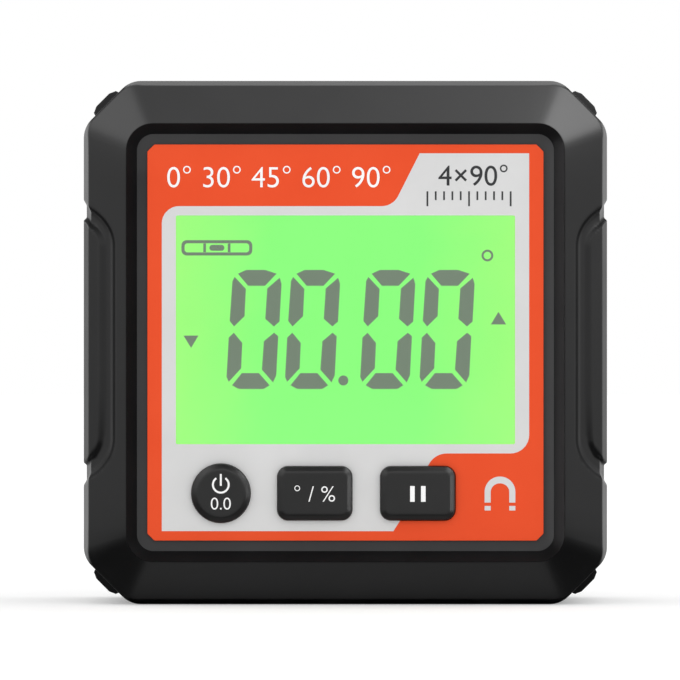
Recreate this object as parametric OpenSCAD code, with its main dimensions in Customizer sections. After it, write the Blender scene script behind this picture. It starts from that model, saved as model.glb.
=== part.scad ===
// Digital angle gauge: a square box with a lit display, three buttons, a magnetic V-groove base
// and a battery door at the back. The front faces -Y, the base stands on Z = 0 and the origin is
// the middle of the base. All sizes are in millimetres.

/* [Case] */
// Width and height of the case
body_w = 60; // [58:0.5:68]
// Depth of the case from the front rim to the back
body_d = 30; // [29.5:0.5:36]
// Leg of the 45 degree cut across each corner
corner_cut = 5.3; // [4:0.1:6.5]
// Fillet where a corner cut meets a side
corner_r = 2.4; // [1.2:0.1:3]
// Wall of the rear shell
wall = 2; // [1.6:0.1:2.4]
// Depth of the front shell from its rim to the seam
front_d = 5.5; // [5.3:0.1:6.5]
// Chamfer on both sides of the seam
seam_cut = 0.25; // [0.1:0.05:0.4]
// Bevel round the back
back_bevel = 3; // [1.5:0.1:3.5]

/* [Front frame] */
// Width of the steep band at the outer edge
edge_w = 0.6; // [0.3:0.05:0.9]
// Width of the broad bevel
bevel_w = 4.4; // [3.6:0.1:4.8]
// Depth of the broad bevel
bevel_d = 3.5; // [2.8:0.1:4.2]
// Narrow flat on top of the rim
rim_land = 0.05; // [0.05:0.05:0.4]
// Depth of the panel below the rim
recess_d = 1.4; // [1:0.1:1.8]
// Lean of the recess wall
recess_lean = 1.1; // [0.5:0.1:1.3]
// Corner radius of the recess at the rim
recess_r = 3; // [2:0.1:4]
// Thickness of the panel behind the recess
panel_t = 1.6; // [1.4:0.1:2]
// Thickness of the lip that locates the two shells
lip_t = 1; // [0.8:0.1:1.4]
// Length of the lip
lip_l = 1.5; // [1:0.1:2]
// Clearance between the lip and the rear shell
lip_gap = 0.1; // [0.05:0.01:0.2]

/* [Side grips] */
// Height of the grip pad
grip_h = 28; // [20:0.5:32]
// Distance of the pad from the front rim and from the back
grip_inset = 2.1; // [1.8:0.1:4]
// Corner radius of the pad
grip_r = 3.1; // [2:0.1:4]
// Width of the moat above and below the pad
moat_h = 2.3; // [1:0.05:2.5]
// Width of the moat in front of and behind the pad
moat_w = 0.9; // [0.5:0.05:1.2]
// Depth of the moat
moat_d = 0.35; // [0.2:0.05:0.5]

/* [Corner ribs] */
// Length of a corner rib from front to back
rib_l = 17; // [10:0.5:18]
// Width of a rib at its foot
rib_w = 3.8; // [2.5:0.1:4.2]
// Height of a rib
rib_h = 0.6; // [0.3:0.05:0.8]
// Slope of a rib's flanks
rib_slope = 0.65; // [0.3:0.05:1]

/* [Label and window] */
// Bare panel round the label
label_gap = 1.25; // [0.5:0.05:1.6]
// Thickness of the label
label_t = 0.3; // [0.15:0.05:0.4]
// Leg of the 45 degree cut across each corner of the label
label_cut = 0.8; // [0.4:0.1:2]
// Label on each side of the window
window_side = 3.25; // [2.8:0.05:5]
// Label above the window
window_top = 8.1; // [7.6:0.05:9]
// Label below the window, with the buttons in it
window_foot = 11; // [10.9:0.05:12]
// Distance that the clear window runs under the label
lens_lap = 1.1; // [0.6:0.1:1.3]
// Thickness of the clear window
lens_t = 1; // [0.7:0.05:1.1]
// Clearance round the clear window
lens_gap = 0.1; // [0.05:0.01:0.15]
// Bare edge of the ledge that is hidden by the label
ledge_back = 0.3; // [0.1:0.05:0.4]

/* [Buttons] */
// Diameter of the round button
power_dia = 6.74; // [5.5:0.02:7]
// Width of an oblong button
key_w = 8.53; // [7:0.01:9]
// Height of an oblong button
key_h = 6.14; // [5:0.02:6.3]
// Corner radius of an oblong button
key_r = 1.2; // [0.8:0.05:2]
// Height of the buttons' middle above the label's lower edge
key_foot = 5.4; // [4.8:0.05:5.5]
// Middle of the round button from the label's left edge
power_side = 8.4; // [8:0.1:9.2]
// Middle of the left oblong button from the round button
unit_pitch = 10.7; // [10.3:0.1:11.7]
// Middle of the right oblong button from the left one
hold_pitch = 11.75; // [11.3:0.05:13.5]
// Height of a button above the label
key_rise = 1; // [0.8:0.05:1.05]
// Width of the bevel on a button
key_bevel_w = 0.6; // [0.3:0.05:0.8]
// Depth of the bevel on a button
key_bevel_d = 0.4; // [0.2:0.05:0.6]
// Clearance round a button in the panel and the label
key_gap = 0.12; // [0.08:0.01:0.25]
// Width of the flange that keeps a button in
flange_w = 0.5; // [0.35:0.05:0.55]
// Thickness of the flange
flange_t = 0.8; // [0.6:0.05:1]
// Gap between the flange and the panel at rest
flange_gap = 0.04; // [0.02:0.01:0.08]
// Travel of a button
key_travel = 0.4; // [0.2:0.05:0.6]

/* [Display] */
// Display glass beyond the window at the sides
lcd_side = 1.6; // [1:0.1:2]
// Display glass beyond the window at the bottom
lcd_foot = 1; // [0.8:0.05:1.05]
// Contact ledge of the glass above the window
lcd_ledge = 3; // [2.8:0.1:3.2]
// Thickness of the display glass
lcd_t = 2.2; // [1.8:0.1:2.6]
// Thickness of the foam gasket
gasket_t = 0.4; // [0.2:0.05:0.6]
// Thickness of the light guide
guide_t = 2.2; // [1.8:0.1:2.8]
// Thickness of the reflector sheet
sheet_t = 0.3; // [0.1:0.05:0.4]
// Wall of the display frame
frame_t = 0.7; // [0.6:0.05:0.8]
// Clearance round the glass in the display frame
frame_gap = 0.05; // [0.02:0.01:0.1]
// Width of the rubber connector strip
strip_w = 2; // [1.6:0.1:2.2]
// Display glass beyond the connector strip at each end
strip_side = 1.95; // [0.95:0.1:5.95]
// Width of a backlight lamp across the light
lamp_w = 3; // [2:0.1:4]
// Length of a backlight lamp along the light
lamp_l = 1; // [0.8:0.05:1.2]
// Height of a backlight lamp
lamp_h = 1.2; // [0.8:0.05:1.6]

/* [Circuit board] */
// Thickness of the board
board_t = 1.4; // [1:0.1:1.6]
// Clearance of the board inside the lip
board_side = 0.5; // [0.2:0.1:0.7]
// Clearance between the board and the screw posts
board_post_gap = 0.5; // [0.3:0.1:0.9]
// Reach of the board's tongue below the switches' middle
board_foot = 4; // [3.5:0.1:4.5]
// Middle of a board screw from the board's edge
board_screw_edge = 2.2; // [2:0.1:2.4]
// Height distance of the board screws from the middle
board_screw_z = 13; // [12:0.5:16]
// Side of a tact switch
switch_w = 6; // [4.5:0.5:6]
// Diameter of a switch plunger
plunger_dia = 3.5; // [3:0.1:4]
// Plunger standing out of its switch
plunger_out = 0.8; // [0.7:0.05:1.2]
// Plunger inside its switch
plunger_in = 1; // [0.8:0.05:1.2]
// Radial clearance of a plunger in its switch
plunger_gap = 0.05; // [0.03:0.01:0.1]
// Side of the controller chip
chip_w = 7; // [5:0.5:9]
// Height of the controller chip
chip_h = 1.2; // [0.8:0.1:1.6]
// Side of the tilt sensor
sensor_w = 4; // [3:0.5:5]
// Height of the tilt sensor
sensor_h = 1; // [0.8:0.1:1.2]

/* [Batteries] */
// Diameter of a cell
cell_dia = 10.3; // [10:0.1:10.5]
// Length of a cell with its pip
cell_l = 44.5; // [43.3:0.1:44.5]
// Diameter of a cell's pip
pip_dia = 3.8; // [3:0.1:3.8]
// Length of a cell's pip
pip_l = 1; // [0.8:0.1:1.4]
// Gap between the two cells
cell_gap = 0.7; // [0.4:0.1:1]
// Clearance of a cell in the bay
bay_gap = 0.3; // [0.2:0.05:0.5]
// Wall of the battery bay
bay_wall = 1.8; // [1.5:0.1:1.9]
// Floor of the battery bay
bay_floor = 1.2; // [1:0.1:1.6]
// Thickness of a contact plate
contact_t = 0.4; // [0.3:0.05:0.5]
// Side of a contact plate
contact_w = 8; // [6:0.5:9]
// Width of a contact's tail
tail_w = 2; // [1.5:0.1:3]
// Clearance round a contact's tail
tail_gap = 0.1; // [0.05:0.01:0.2]
// Length of a pressed coil spring
spring_l = 3.9; // [3.6:0.1:4.2]
// Wire of a coil spring
spring_wire = 0.5; // [0.4:0.05:0.6]
// Coil radius at the foot of a spring
spring_foot_r = 3.2; // [2.8:0.1:3.6]
// Coil radius at the tip of a spring
spring_tip_r = 2.2; // [1.8:0.1:2.6]
// Turns of a coil spring
spring_turns = 4; // [3:0.5:4.5]

/* [Battery door] */
// Thickness of the door
door_t = 1.75; // [1.5:0.05:2]
// Corner radius of the door
door_r = 1.6; // [0.8:0.1:2.2]
// Gap round the door
door_gap = 0.15; // [0.1:0.01:0.25]
// Gap between the door and its ledge
door_seat_gap = 0.05; // [0.02:0.01:0.1]
// Width of a hinge tongue
tongue_w = 6; // [4:0.5:8]
// Middle of a hinge tongue from the middle of the door
tongue_x = 16; // [12:0.5:19]
// Thickness of a hinge tongue
tongue_t = 1.2; // [1:0.1:1.4]
// Reach of a hinge tongue behind the back wall
tongue_reach = 1.2; // [0.8:0.1:1.4]
// Height of the block that carries a hinge tongue
tongue_root = 1.2; // [1:0.1:1.3]
// Clearance round a tongue and the latch
tongue_gap = 0.3; // [0.2:0.05:0.4]
// Width of the latch finger
latch_w = 10; // [8:0.5:14]
// Length of the latch finger
latch_l = 8; // [6:0.5:10]
// Slot beside the latch finger
latch_slot = 0.6; // [0.4:0.05:0.8]
// Depth of the latch nose behind the door
nose_d = 1.2; // [0.8:0.1:1.4]
// Height of the latch nose
nose_h = 1; // [0.7:0.1:1.2]
// Depth of the thumb scoop below the door
scoop_d = 0.9; // [0.5:0.1:1]
// Height of the thumb scoop below the door
scoop_h = 3; // [2:0.1:3.5]
// Depth of a grip groove across the latch
latch_groove = 0.5; // [0.3:0.05:0.6]

/* [Base] */
// Width of the V-groove at its mouth
groove_w = 9; // [7.5:0.1:9.4]
// Depth of the V-groove
groove_d = 3.5; // [2.5:0.1:3.6]
// Diameter of a base magnet
magnet_dia = 5; // [3.5:0.1:5.2]
// Thickness of a base magnet
magnet_t = 3; // [2:0.1:3.5]
// Middle of a magnet from the middle of the base
magnet_x = 14; // [8:0.5:16]
// Depth of a magnet's face above the base
magnet_sink = 0.15; // [0.05:0.05:0.3]
// Clearance round a magnet
magnet_gap = 0.05; // [0.02:0.01:0.1]
// Wall of a magnet pocket
pocket_wall = 1; // [0.8:0.1:1.4]

/* [Fasteners] */
// Distance of the case screws from the sides of the case
post_inset = 7.5; // [7.3:0.05:7.6]
// Diameter of a case screw's shank
screw_dia = 2.2; // [2:0.1:2.6]
// Diameter of a case screw's head
screw_head_dia = 4; // [3.6:0.1:4.2]
// Height of a case screw's head
screw_head_h = 1.5; // [1.2:0.1:1.8]
// Length of a case screw's shank
screw_l = 9; // [8:0.5:10]
// Wall of a screw post
post_wall = 1; // [0.8:0.05:1.1]
// Seat of a case screw below the back
seat_depth = 15; // [13:0.5:16]
// Thickness of a case screw's seat
seat_t = 4; // [3:0.5:5]
// Clearance round a case screw's shank and head in the rear shell
screw_gap = 0.2; // [0.15:0.05:0.3]
// Clearance round a screw's shank in its thread hole
thread_gap = 0.02; // [0.01:0.01:0.04]
// Diameter of a board screw's shank
board_screw_dia = 1.7; // [1.4:0.1:1.9]
// Diameter of a board screw's head
board_head_dia = 3.2; // [2.8:0.1:3.4]
// Height of a board screw's head
board_head_h = 1.2; // [0.9:0.1:1.4]
// Length of a board screw's shank
board_screw_l = 5.5; // [4:0.5:6]

/* [Hidden] */
$fn = 64;
eps = 0.05;
half = body_w / 2;
arc_steps = 6;
octagon = 2 - sqrt(2);

y_front = -body_d / 2;
y_back = body_d / 2;
y_seam = y_front + front_d;
y_band = y_seam - seam_cut;
y_edge = y_front + bevel_d;
y_floor = y_front + recess_d;
y_panel = y_floor + panel_t;
y_label = y_floor - label_t;
y_glass = y_panel + gasket_t;
y_guide = y_glass + lcd_t;
y_sheet = y_guide + guide_t;
y_board = y_sheet + sheet_t;
y_parts = y_board + board_t;
y_lip = y_seam + lip_l;

corner_rise = edge_w * bevel_d / bevel_w;
corner_side = edge_w * (1 - corner_rise / (y_band - y_edge));
rim_half = half - edge_w - bevel_w;
mouth_half = rim_half - rim_land;
floor_half = mouth_half - recess_lean;
floor_r = max(0.5, recess_r - recess_lean);
label_half = floor_half - label_gap;
tub_half = half - wall;
lip_half = tub_half - lip_gap;
hollow_half = lip_half - lip_t;

window_w = 2 * (label_half - window_side);
window_h = 2 * label_half - window_top - window_foot;
window_rise = (window_foot - window_top) / 2;
lens_w = window_w + 2 * lens_lap;
lens_h = window_h + 2 * lens_lap;
ledge_w = window_w + 2 * ledge_back;
ledge_h = window_h + 2 * ledge_back;

lcd_w = window_w + 2 * lcd_side;
lcd_low = window_rise - window_h / 2 - lcd_foot;
lcd_high = window_rise + window_h / 2 + lcd_ledge;
guide_high = lcd_high - strip_w - 2 * frame_t;
strip_l = lcd_w - 2 * strip_side;

y_flange = y_panel + flange_gap;
y_plunger = y_flange + flange_t;
y_switch = y_plunger + plunger_out;
key_drop = label_half - key_foot;
power_x = -label_half + power_side;
unit_x = power_x + unit_pitch;
hold_x = unit_x + hold_pitch;

y_ledge = y_back - door_t - door_seat_gap;
bay_half_l = (cell_l + spring_l) / 2 + contact_t;
bay_half_h = cell_dia + cell_gap / 2 + bay_gap;
bay_out_l = bay_half_l + bay_wall;
bay_out_h = bay_half_h + bay_wall;
y_cell = y_ledge - bay_gap - cell_dia / 2;
y_bay = y_cell - cell_dia / 2 - bay_gap;
cell_z = (cell_dia + cell_gap) / 2;
door_half_w = bay_out_l - door_gap;
door_half_h = bay_out_h - door_gap;
y_tongue = y_back - wall - door_gap - tongue_t;
scoop_r = (latch_w * latch_w / 4 + scoop_h * scoop_h) / (2 * scoop_h);
tongue_foot = bay_out_h - bay_wall - door_gap - tongue_gap;

base_front = y_seam + seam_cut;
base_back = y_back - back_bevel;
groove_y = (base_front + base_back) / 2;
flat_w = (base_back - base_front - groove_w) / 2;
pocket_r = magnet_dia / 2 + magnet_gap + pocket_wall;
lip_open = magnet_x + pocket_r + lip_gap;
magnet_ys = [base_front + flat_w / 2, base_back - flat_w / 2];
groove_floor = groove_w - 2 * groove_d;

y_seat = y_back - seat_depth;
y_post = y_seat - seat_t;
post_r = screw_head_dia / 2 + screw_gap + post_wall;
front_post_r = screw_dia / 2 + 1.5;
post_off = half - post_inset;
board_half_w = hollow_half - board_side;
board_half_h = post_off - front_post_r - board_post_gap;
board_screw_x = board_half_w - board_screw_edge;

// Extrudes a front view drawn about the middle of the case from depth y0 to depth y1.
module through(y0, y1) {
  translate([0, y1, half])
    rotate([90, 0, 0])
      linear_extrude(y1 - y0)
        children();
}

// Extrudes a side view, drawn in depth and height, from x0 to x1.
module across(x0, x1) {
  translate([x0, 0, 0])
    rotate([90, 0, 90])
      linear_extrude(x1 - x0)
        children();
}

// Leg of the corner cut after the outline has moved in by d.
function cut_at(d) = corner_cut - d * octagon;

// Square outline with cut corners: half size h, cut leg c, fillet r.
function outline(h, c, r) = [
  for (turn = [0:3], side = [0, 1], i = [0:arc_steps])
    let (
      a = 45 * side + 45 * i / arc_steps,
      t = c + r * tan(22.5),
      x = (side == 0 ? h - r : h - t) + r * cos(a),
      z = (side == 0 ? h - t : h - r) + r * sin(a)
    )
    [x * cos(90 * turn) - z * sin(90 * turn), x * sin(90 * turn) + z * cos(90 * turn)]
];

// Outline of the case after it has moved in by inset.
function case_ring(inset) =
  outline(half - inset, cut_at(inset), min(corner_r, cut_at(inset) / octagon));

// Outline of the case with its sides moved in further by side, while the corner cuts stay.
function corner_ring(side, inset) =
  let (c = cut_at(inset) - 2 * side)
  outline(half - inset - side, c, min(corner_r, c / octagon));

// Outline of a square with round corners.
function round_ring(h, r) = outline(h, r * octagon, r);

module case_outline(inset) {
  polygon(case_ring(inset));
}

// Solid through rings of equal length, each given as its depth and its outline, front to back.
module loft(rings) {
  n = len(rings[0][1]);
  last = (len(rings) - 1) * n;
  points = [for (ring = rings, p = ring[1]) [p[0], ring[0], half + p[1]]];
  sides = [
    for (i = [0:n:last - n], k = [0:n - 1], upper = [true, false])
      let (a = i + k, b = i + (k + 1) % n)
      upper ? [a, b, b + n] : [a, b + n, a + n]
  ];
  caps = [
    [for (k = [n - 1:-1:0]) k],
    [for (k = [0:n - 1]) last + k]
  ];
  polyhedron(points, concat(sides, caps));
}

// Rectangle about the origin with true round corners.
module rounded_rect(w, h, r) {
  square([w - 2 * r, h], center = true);
  square([w, h - 2 * r], center = true);
  for (sx = [-1, 1], sz = [-1, 1])
    translate([sx * (w / 2 - r), sz * (h / 2 - r)])
      circle(r);
}

// Square of half size h about the origin with 45 degree cuts of leg c.
module cut_square(h, c) {
  intersection() {
    square(2 * h, center = true);
    rotate(45)
      square(sqrt(2) * (2 * h - c), center = true);
  }
}

// Solid form of the front shell, shrunk on all sides by inset. The steep band runs along the four
// sides only: on the cut corners the bevel runs out to the edge.
module front_form(inset) {
  loft([
    [y_front, case_ring(half - rim_half + inset)],
    [y_edge, case_ring(edge_w + inset)],
    [y_edge + corner_rise, corner_ring(corner_side, inset)],
    [y_band, case_ring(inset)],
    [y_seam, case_ring(seam_cut + inset)]
  ]);
}

// Solid form of the rear shell, shrunk on all sides by inset.
module rear_form(inset) {
  loft([
    [y_seam, case_ring(seam_cut + inset)],
    [base_front, case_ring(inset)],
    [base_back, case_ring(inset)],
    [y_back, case_ring(back_bevel + inset)]
  ]);
}

// Shallow moat round both side grips, which runs across the seam of the two shells.
module grip_moat() {
  pad_d = body_d - 2 * grip_inset;
  difference() {
    for (x0 = [-half - 1, half - 8])
      across(x0, x0 + 9)
        translate([0, half])
          difference() {
            rounded_rect(pad_d + 2 * moat_w, grip_h + 2 * moat_h, grip_r + moat_w);
            rounded_rect(pad_d, grip_h, grip_r);
          }
    front_form(moat_d);
    rear_form(moat_d);
  }
}

// Rib on one cut corner, with sloped flanks all round.
module corner_rib(turn) {
  reach = (2 * half - corner_cut) / sqrt(2);
  foot = 1;
  spread = rib_slope * foot / rib_h;
  translate([0, 0, half])
    rotate([0, turn, 0])
      intersection() {
        translate([0, -rib_l / 2, reach])
          rotate([-90, 0, 0])
            linear_extrude(rib_l)
              polygon([
                [-rib_w / 2 - spread, foot],
                [rib_w / 2 + spread, foot],
                [rib_w / 2 - rib_slope, -rib_h],
                [-rib_w / 2 + rib_slope, -rib_h]
              ]);
        translate([-rib_w, 0, reach])
          rotate([90, 0, 90])
            linear_extrude(2 * rib_w)
              polygon([
                [-rib_l / 2, -foot],
                [rib_l / 2, -foot],
                [rib_l / 2 - rib_slope, rib_h],
                [-rib_l / 2 + rib_slope, rib_h]
              ]);
      }
}

// Round bar along the depth, at x and z from the middle of the case.
module bar(x, z, r, y0, y1) {
  translate([x, y1, half + z])
    rotate([90, 0, 0])
      cylinder(r = r, h = y1 - y0);
}

module at_posts() {
  for (sx = [-1, 1], sz = [-1, 1])
    translate([sx * post_off, 0, sz * post_off])
      children();
}

module at_board_screws() {
  for (sx = [-1, 1], sz = [-1, 1])
    translate([sx * board_screw_x, 0, sz * board_screw_z])
      children();
}

// Holes for the three buttons, wider than the buttons by gap on each side.
module key_holes(gap) {
  translate([power_x, -key_drop])
    circle(d = power_dia + 2 * gap);
  for (x = [unit_x, hold_x])
    translate([x, -key_drop])
      rounded_rect(key_w + 2 * gap, key_h + 2 * gap, key_r + gap);
}

module front_shell() {
  color([0.16, 0.16, 0.17])
    difference() {
      union() {
        difference() {
          union() {
            front_form(0);
            through(y_seam - eps, y_lip)
              case_outline(half - lip_half);
          }
          through(y_panel, y_lip + eps)
            case_outline(half - hollow_half);
          through(y_seam, y_lip + eps)
            pane(2 * lip_open, -half, -hollow_half + eps);
        }
        at_posts()
          bar(0, 0, front_post_r, y_panel - eps, y_post);
        at_board_screws()
          bar(0, 0, board_head_dia / 2, y_panel - eps, y_board);
      }
      loft([
        [y_front - eps, round_ring(mouth_half + eps * recess_lean / recess_d, recess_r)],
        [y_front, round_ring(mouth_half, recess_r)],
        [y_floor, round_ring(floor_half, floor_r)]
      ]);
      through(y_floor - eps, y_floor + lens_t)
        translate([0, window_rise])
          square([lens_w + 2 * lens_gap, lens_h + 2 * lens_gap], center = true);
      through(y_floor, y_panel + eps)
        translate([0, window_rise])
          square([ledge_w, ledge_h], center = true);
      through(y_floor - eps, y_panel + eps)
        key_holes(key_gap);
      at_posts()
        bar(0, 0, screw_dia / 2 + thread_gap, y_seat - screw_l - 0.5, y_post + eps);
      at_board_screws()
        bar(0, 0, board_screw_dia / 2 + thread_gap, y_parts - board_screw_l - 0.3, y_board + eps);
      grip_moat();
    }
}

// Side view of the groove's outline, moved out by t.
module groove_shape(t) {
  run = t * tan(22.5);
  polygon([
    [groove_y - groove_w / 2 - t - run, -t],
    [groove_y + groove_w / 2 + t + run, -t],
    [groove_y + groove_w / 2 + t + run, 0],
    [groove_y + groove_floor / 2 + run, groove_d + t],
    [groove_y - groove_floor / 2 - run, groove_d + t],
    [groove_y - groove_w / 2 - t - run, 0]
  ]);
}

module rear_shell() {
  color([0.14, 0.14, 0.15])
    difference() {
      union() {
        difference() {
          rear_form(0);
          through(y_seam - eps, y_back - wall)
            case_outline(wall);
        }
        for (turn = [45:90:315])
          corner_rib(turn);
        intersection() {
          rear_form(wall / 2);
          across(-half, half)
            groove_shape(wall);
        }
        intersection() {
          rear_form(wall / 2);
          union() {
            for (x = [-magnet_x, magnet_x], y = magnet_ys)
              translate([x, y, 0])
                cylinder(r = pocket_r, h = magnet_sink + magnet_t + pocket_wall);
          }
        }
        through(y_bay - bay_floor, y_back - wall + eps)
          square([2 * bay_out_l, 2 * bay_out_h], center = true);
        at_posts()
          bar(0, 0, post_r, y_post, y_back - wall + eps);
      }
      through(y_bay, y_back)
        square([2 * bay_half_l, 2 * bay_half_h], center = true);
      through(y_ledge, y_back + eps)
        rounded_rect(2 * bay_out_l, 2 * bay_out_h, door_r + door_gap);
      for (s = [-1, 1])
        through(y_tongue - tongue_gap, y_ledge + eps)
          translate([s * tongue_x, bay_out_h - bay_wall / 2])
            square([tongue_w + 2 * tongue_gap, bay_wall + 4 * eps], center = true);
      through(y_ledge - nose_d - tongue_gap, y_ledge + eps)
        translate([-latch_w / 2 - tongue_gap, -bay_out_h])
          square([latch_w + 2 * tongue_gap, bay_wall + eps]);
      through(y_back - scoop_d, y_back + eps)
        translate([0, scoop_r - bay_out_h - scoop_h])
          circle(r = scoop_r);
      for (z = [-cell_z, cell_z])
        translate([bay_half_l - contact_t / 2, y_bay - bay_floor / 2, half + z])
          cube([contact_t + 2 * tail_gap, bay_floor + 2 * eps, tail_w + 2 * tail_gap], center = true);
      at_posts() {
        bar(0, 0, screw_head_dia / 2 + screw_gap, y_seat, y_back + eps);
        bar(0, 0, screw_dia / 2 + screw_gap, y_post - eps, y_seat + eps);
      }
      across(-half - 1, half + 1)
        polygon([
          [groove_y - groove_w / 2 - eps, -eps],
          [groove_y + groove_w / 2 + eps, -eps],
          [groove_y + groove_floor / 2, groove_d],
          [groove_y - groove_floor / 2, groove_d]
        ]);
      for (x = [-magnet_x, magnet_x], y = magnet_ys)
        translate([x, y, -eps])
          cylinder(r = magnet_dia / 2 + magnet_gap, h = magnet_sink + magnet_t + eps);
      grip_moat();
    }
}

module face_label() {
  color([0.9, 0.35, 0.2])
    through(y_label, y_floor)
      difference() {
        cut_square(label_half, label_cut);
        translate([0, window_rise])
          square([window_w, window_h], center = true);
        key_holes(key_gap);
      }
}

module display_window() {
  color([0.85, 0.9, 0.88, 0.4])
    through(y_floor, y_floor + lens_t)
      translate([0, window_rise])
        square([lens_w, lens_h], center = true);
}

// Upright rectangle, from z0 to z1 about the middle of the case.
module pane(w, z0, z1) {
  translate([-w / 2, z0])
    square([w, z1 - z0]);
}

module display_gasket() {
  color([0.1, 0.1, 0.1])
    through(y_panel, y_glass)
      difference() {
        pane(lcd_w, lcd_low, lcd_high);
        translate([0, window_rise])
          square([ledge_w, ledge_h], center = true);
      }
}

module lcd_glass() {
  color([0.55, 0.95, 0.5])
    through(y_glass, y_guide)
      pane(lcd_w, lcd_low, lcd_high);
}

module light_guide() {
  color([0.9, 0.95, 0.85])
    through(y_guide, y_sheet)
      difference() {
        pane(lcd_w, lcd_low, guide_high);
        for (s = [-1, 1])
          translate([s * lcd_w / 2, window_rise])
            square([2 * lamp_l, lamp_w + 2 * frame_gap], center = true);
      }
}

module reflector_sheet() {
  color([0.95, 0.95, 0.95])
    through(y_sheet, y_board)
      pane(lcd_w - 2 * lamp_l - 2 * frame_gap, lcd_low, guide_high);
}

module lcd_frame() {
  rim = frame_t + frame_gap;
  color([0.92, 0.92, 0.9])
    through(y_panel, y_board)
      difference() {
        pane(lcd_w + 2 * rim, lcd_low - rim, lcd_high + rim);
        pane(lcd_w + 2 * frame_gap, lcd_low - frame_gap, lcd_high + frame_gap);
      }
}

module connector_strip() {
  color([0.85, 0.55, 0.6])
    through(y_guide, y_board)
      pane(strip_l, lcd_high - frame_t - strip_w, lcd_high - frame_t);
}

module backlight_lamp(side) {
  x = side * (lcd_w - lamp_l) / 2;
  color([0.95, 0.93, 0.7])
    through(y_board - lamp_h, y_board)
      translate([x, window_rise])
        square([lamp_l, lamp_w], center = true);
}

module main_board() {
  color([0.1, 0.4, 0.22])
    difference() {
      through(y_board, y_parts) {
        square([2 * board_half_w, 2 * board_half_h], center = true);
        translate([-board_half_h, -key_drop - board_foot])
          square([2 * board_half_h, board_half_h]);
      }
      at_board_screws()
        bar(0, 0, board_screw_dia / 2 + screw_gap, y_board - eps, y_parts + eps);
    }
}

module board_screws() {
  color([0.7, 0.7, 0.72])
    at_board_screws()
      difference() {
        union() {
          bar(0, 0, board_screw_dia / 2, y_parts - board_screw_l, y_parts + eps);
          bar(0, 0, board_head_dia / 2, y_parts, y_parts + board_head_h);
        }
        cross_slot(y_parts + board_head_h, board_head_dia * 0.55, board_head_h * 0.5);
      }
}

// Cross-shaped drive in a screw head whose top is at depth y.
module cross_slot(y, w, d) {
  translate([0, y - d / 2 + eps / 2, half]) {
    cube([w, d + eps, w * 0.24], center = true);
    cube([w * 0.24, d + eps, w], center = true);
  }
}

module controller_chip() {
  color([0.12, 0.12, 0.13])
    through(y_parts, y_parts + chip_h)
      translate([-6, 6])
        difference() {
          square(chip_w, center = true);
          translate([chip_w / 2 - 1, chip_w / 2])
            circle(r = 0.5);
        }
}

module tilt_sensor() {
  color([0.2, 0.2, 0.22])
    through(y_parts, y_parts + sensor_h)
      translate([9, -7])
        square(sensor_w, center = true);
}

module tact_switch(x) {
  color([0.2, 0.2, 0.2])
    difference() {
      through(y_switch, y_board)
        translate([x, -key_drop])
          square(switch_w, center = true);
      bar(
        x, -key_drop, plunger_dia / 2 + plunger_gap,
        y_switch - eps, y_switch + plunger_in + key_travel + plunger_gap
      );
    }
}

module switch_plunger(x) {
  color([0.85, 0.85, 0.82])
    bar(x, -key_drop, plunger_dia / 2, y_plunger, y_switch + plunger_in);
}

module power_button() {
  r = power_dia / 2;
  y_top = y_label - key_rise;
  color([0.18, 0.18, 0.18])
    translate([power_x, y_flange + flange_t, half - key_drop])
      rotate([90, 0, 0])
        rotate_extrude()
          polygon([
            [0, 0],
            [r + flange_w, 0],
            [r + flange_w, flange_t],
            [r, flange_t],
            [r, y_flange + flange_t - y_top - key_bevel_d],
            [r - key_bevel_w, y_flange + flange_t - y_top],
            [0, y_flange + flange_t - y_top]
          ]);
}

module oblong_button(x) {
  y_top = y_label - key_rise;
  color([0.18, 0.18, 0.18])
    translate([x, 0, -key_drop]) {
      through(y_flange, y_plunger)
        rounded_rect(key_w + 2 * flange_w, key_h + 2 * flange_w, key_r + flange_w);
      through(y_top + key_bevel_d, y_flange + eps)
        rounded_rect(key_w, key_h, key_r);
      hull() {
        through(y_top + key_bevel_d, y_top + key_bevel_d + eps)
          rounded_rect(key_w, key_h, key_r, $fn = 32);
        through(y_top, y_top + eps)
          rounded_rect(key_w - 2 * key_bevel_w, key_h - 2 * key_bevel_w, key_r / 2, $fn = 32);
      }
    }
}

// One cell along X; pip is 1 where the pip points to +X and -1 where it points to -X.
module cell(z, pip) {
  start = bay_half_l - contact_t - cell_l;
  color([0.75, 0.72, 0.6])
    translate([0, y_cell, half + z])
      rotate([0, 90 * pip, 0])
        translate([0, 0, start])
          rotate_extrude()
            polygon([
              [0, 0],
              [cell_dia / 2 - 0.4, 0],
              [cell_dia / 2, 0.4],
              [cell_dia / 2, cell_l - pip_l - 0.6],
              [cell_dia / 2 - 0.6, cell_l - pip_l],
              [pip_dia / 2, cell_l - pip_l],
              [pip_dia / 2, cell_l],
              [0, cell_l]
            ]);
}

// Contact plate at the right end of the bay with a tail that reaches the board.
module tail_contact(z) {
  color([0.8, 0.8, 0.78])
    translate([bay_half_l - contact_t, 0, half + z]) {
      translate([0, y_cell - contact_w / 2, -contact_w / 2])
        cube([contact_t, contact_w, contact_w]);
      translate([0, y_parts, -tail_w / 2])
        cube([contact_t, y_cell - y_parts, tail_w]);
    }
}

module bridge_contact() {
  color([0.8, 0.8, 0.78])
    translate([-bay_half_l, y_cell - contact_w / 2, half - cell_z - contact_w / 2])
      cube([contact_t, contact_w, contact_w + 2 * cell_z]);
}

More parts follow.
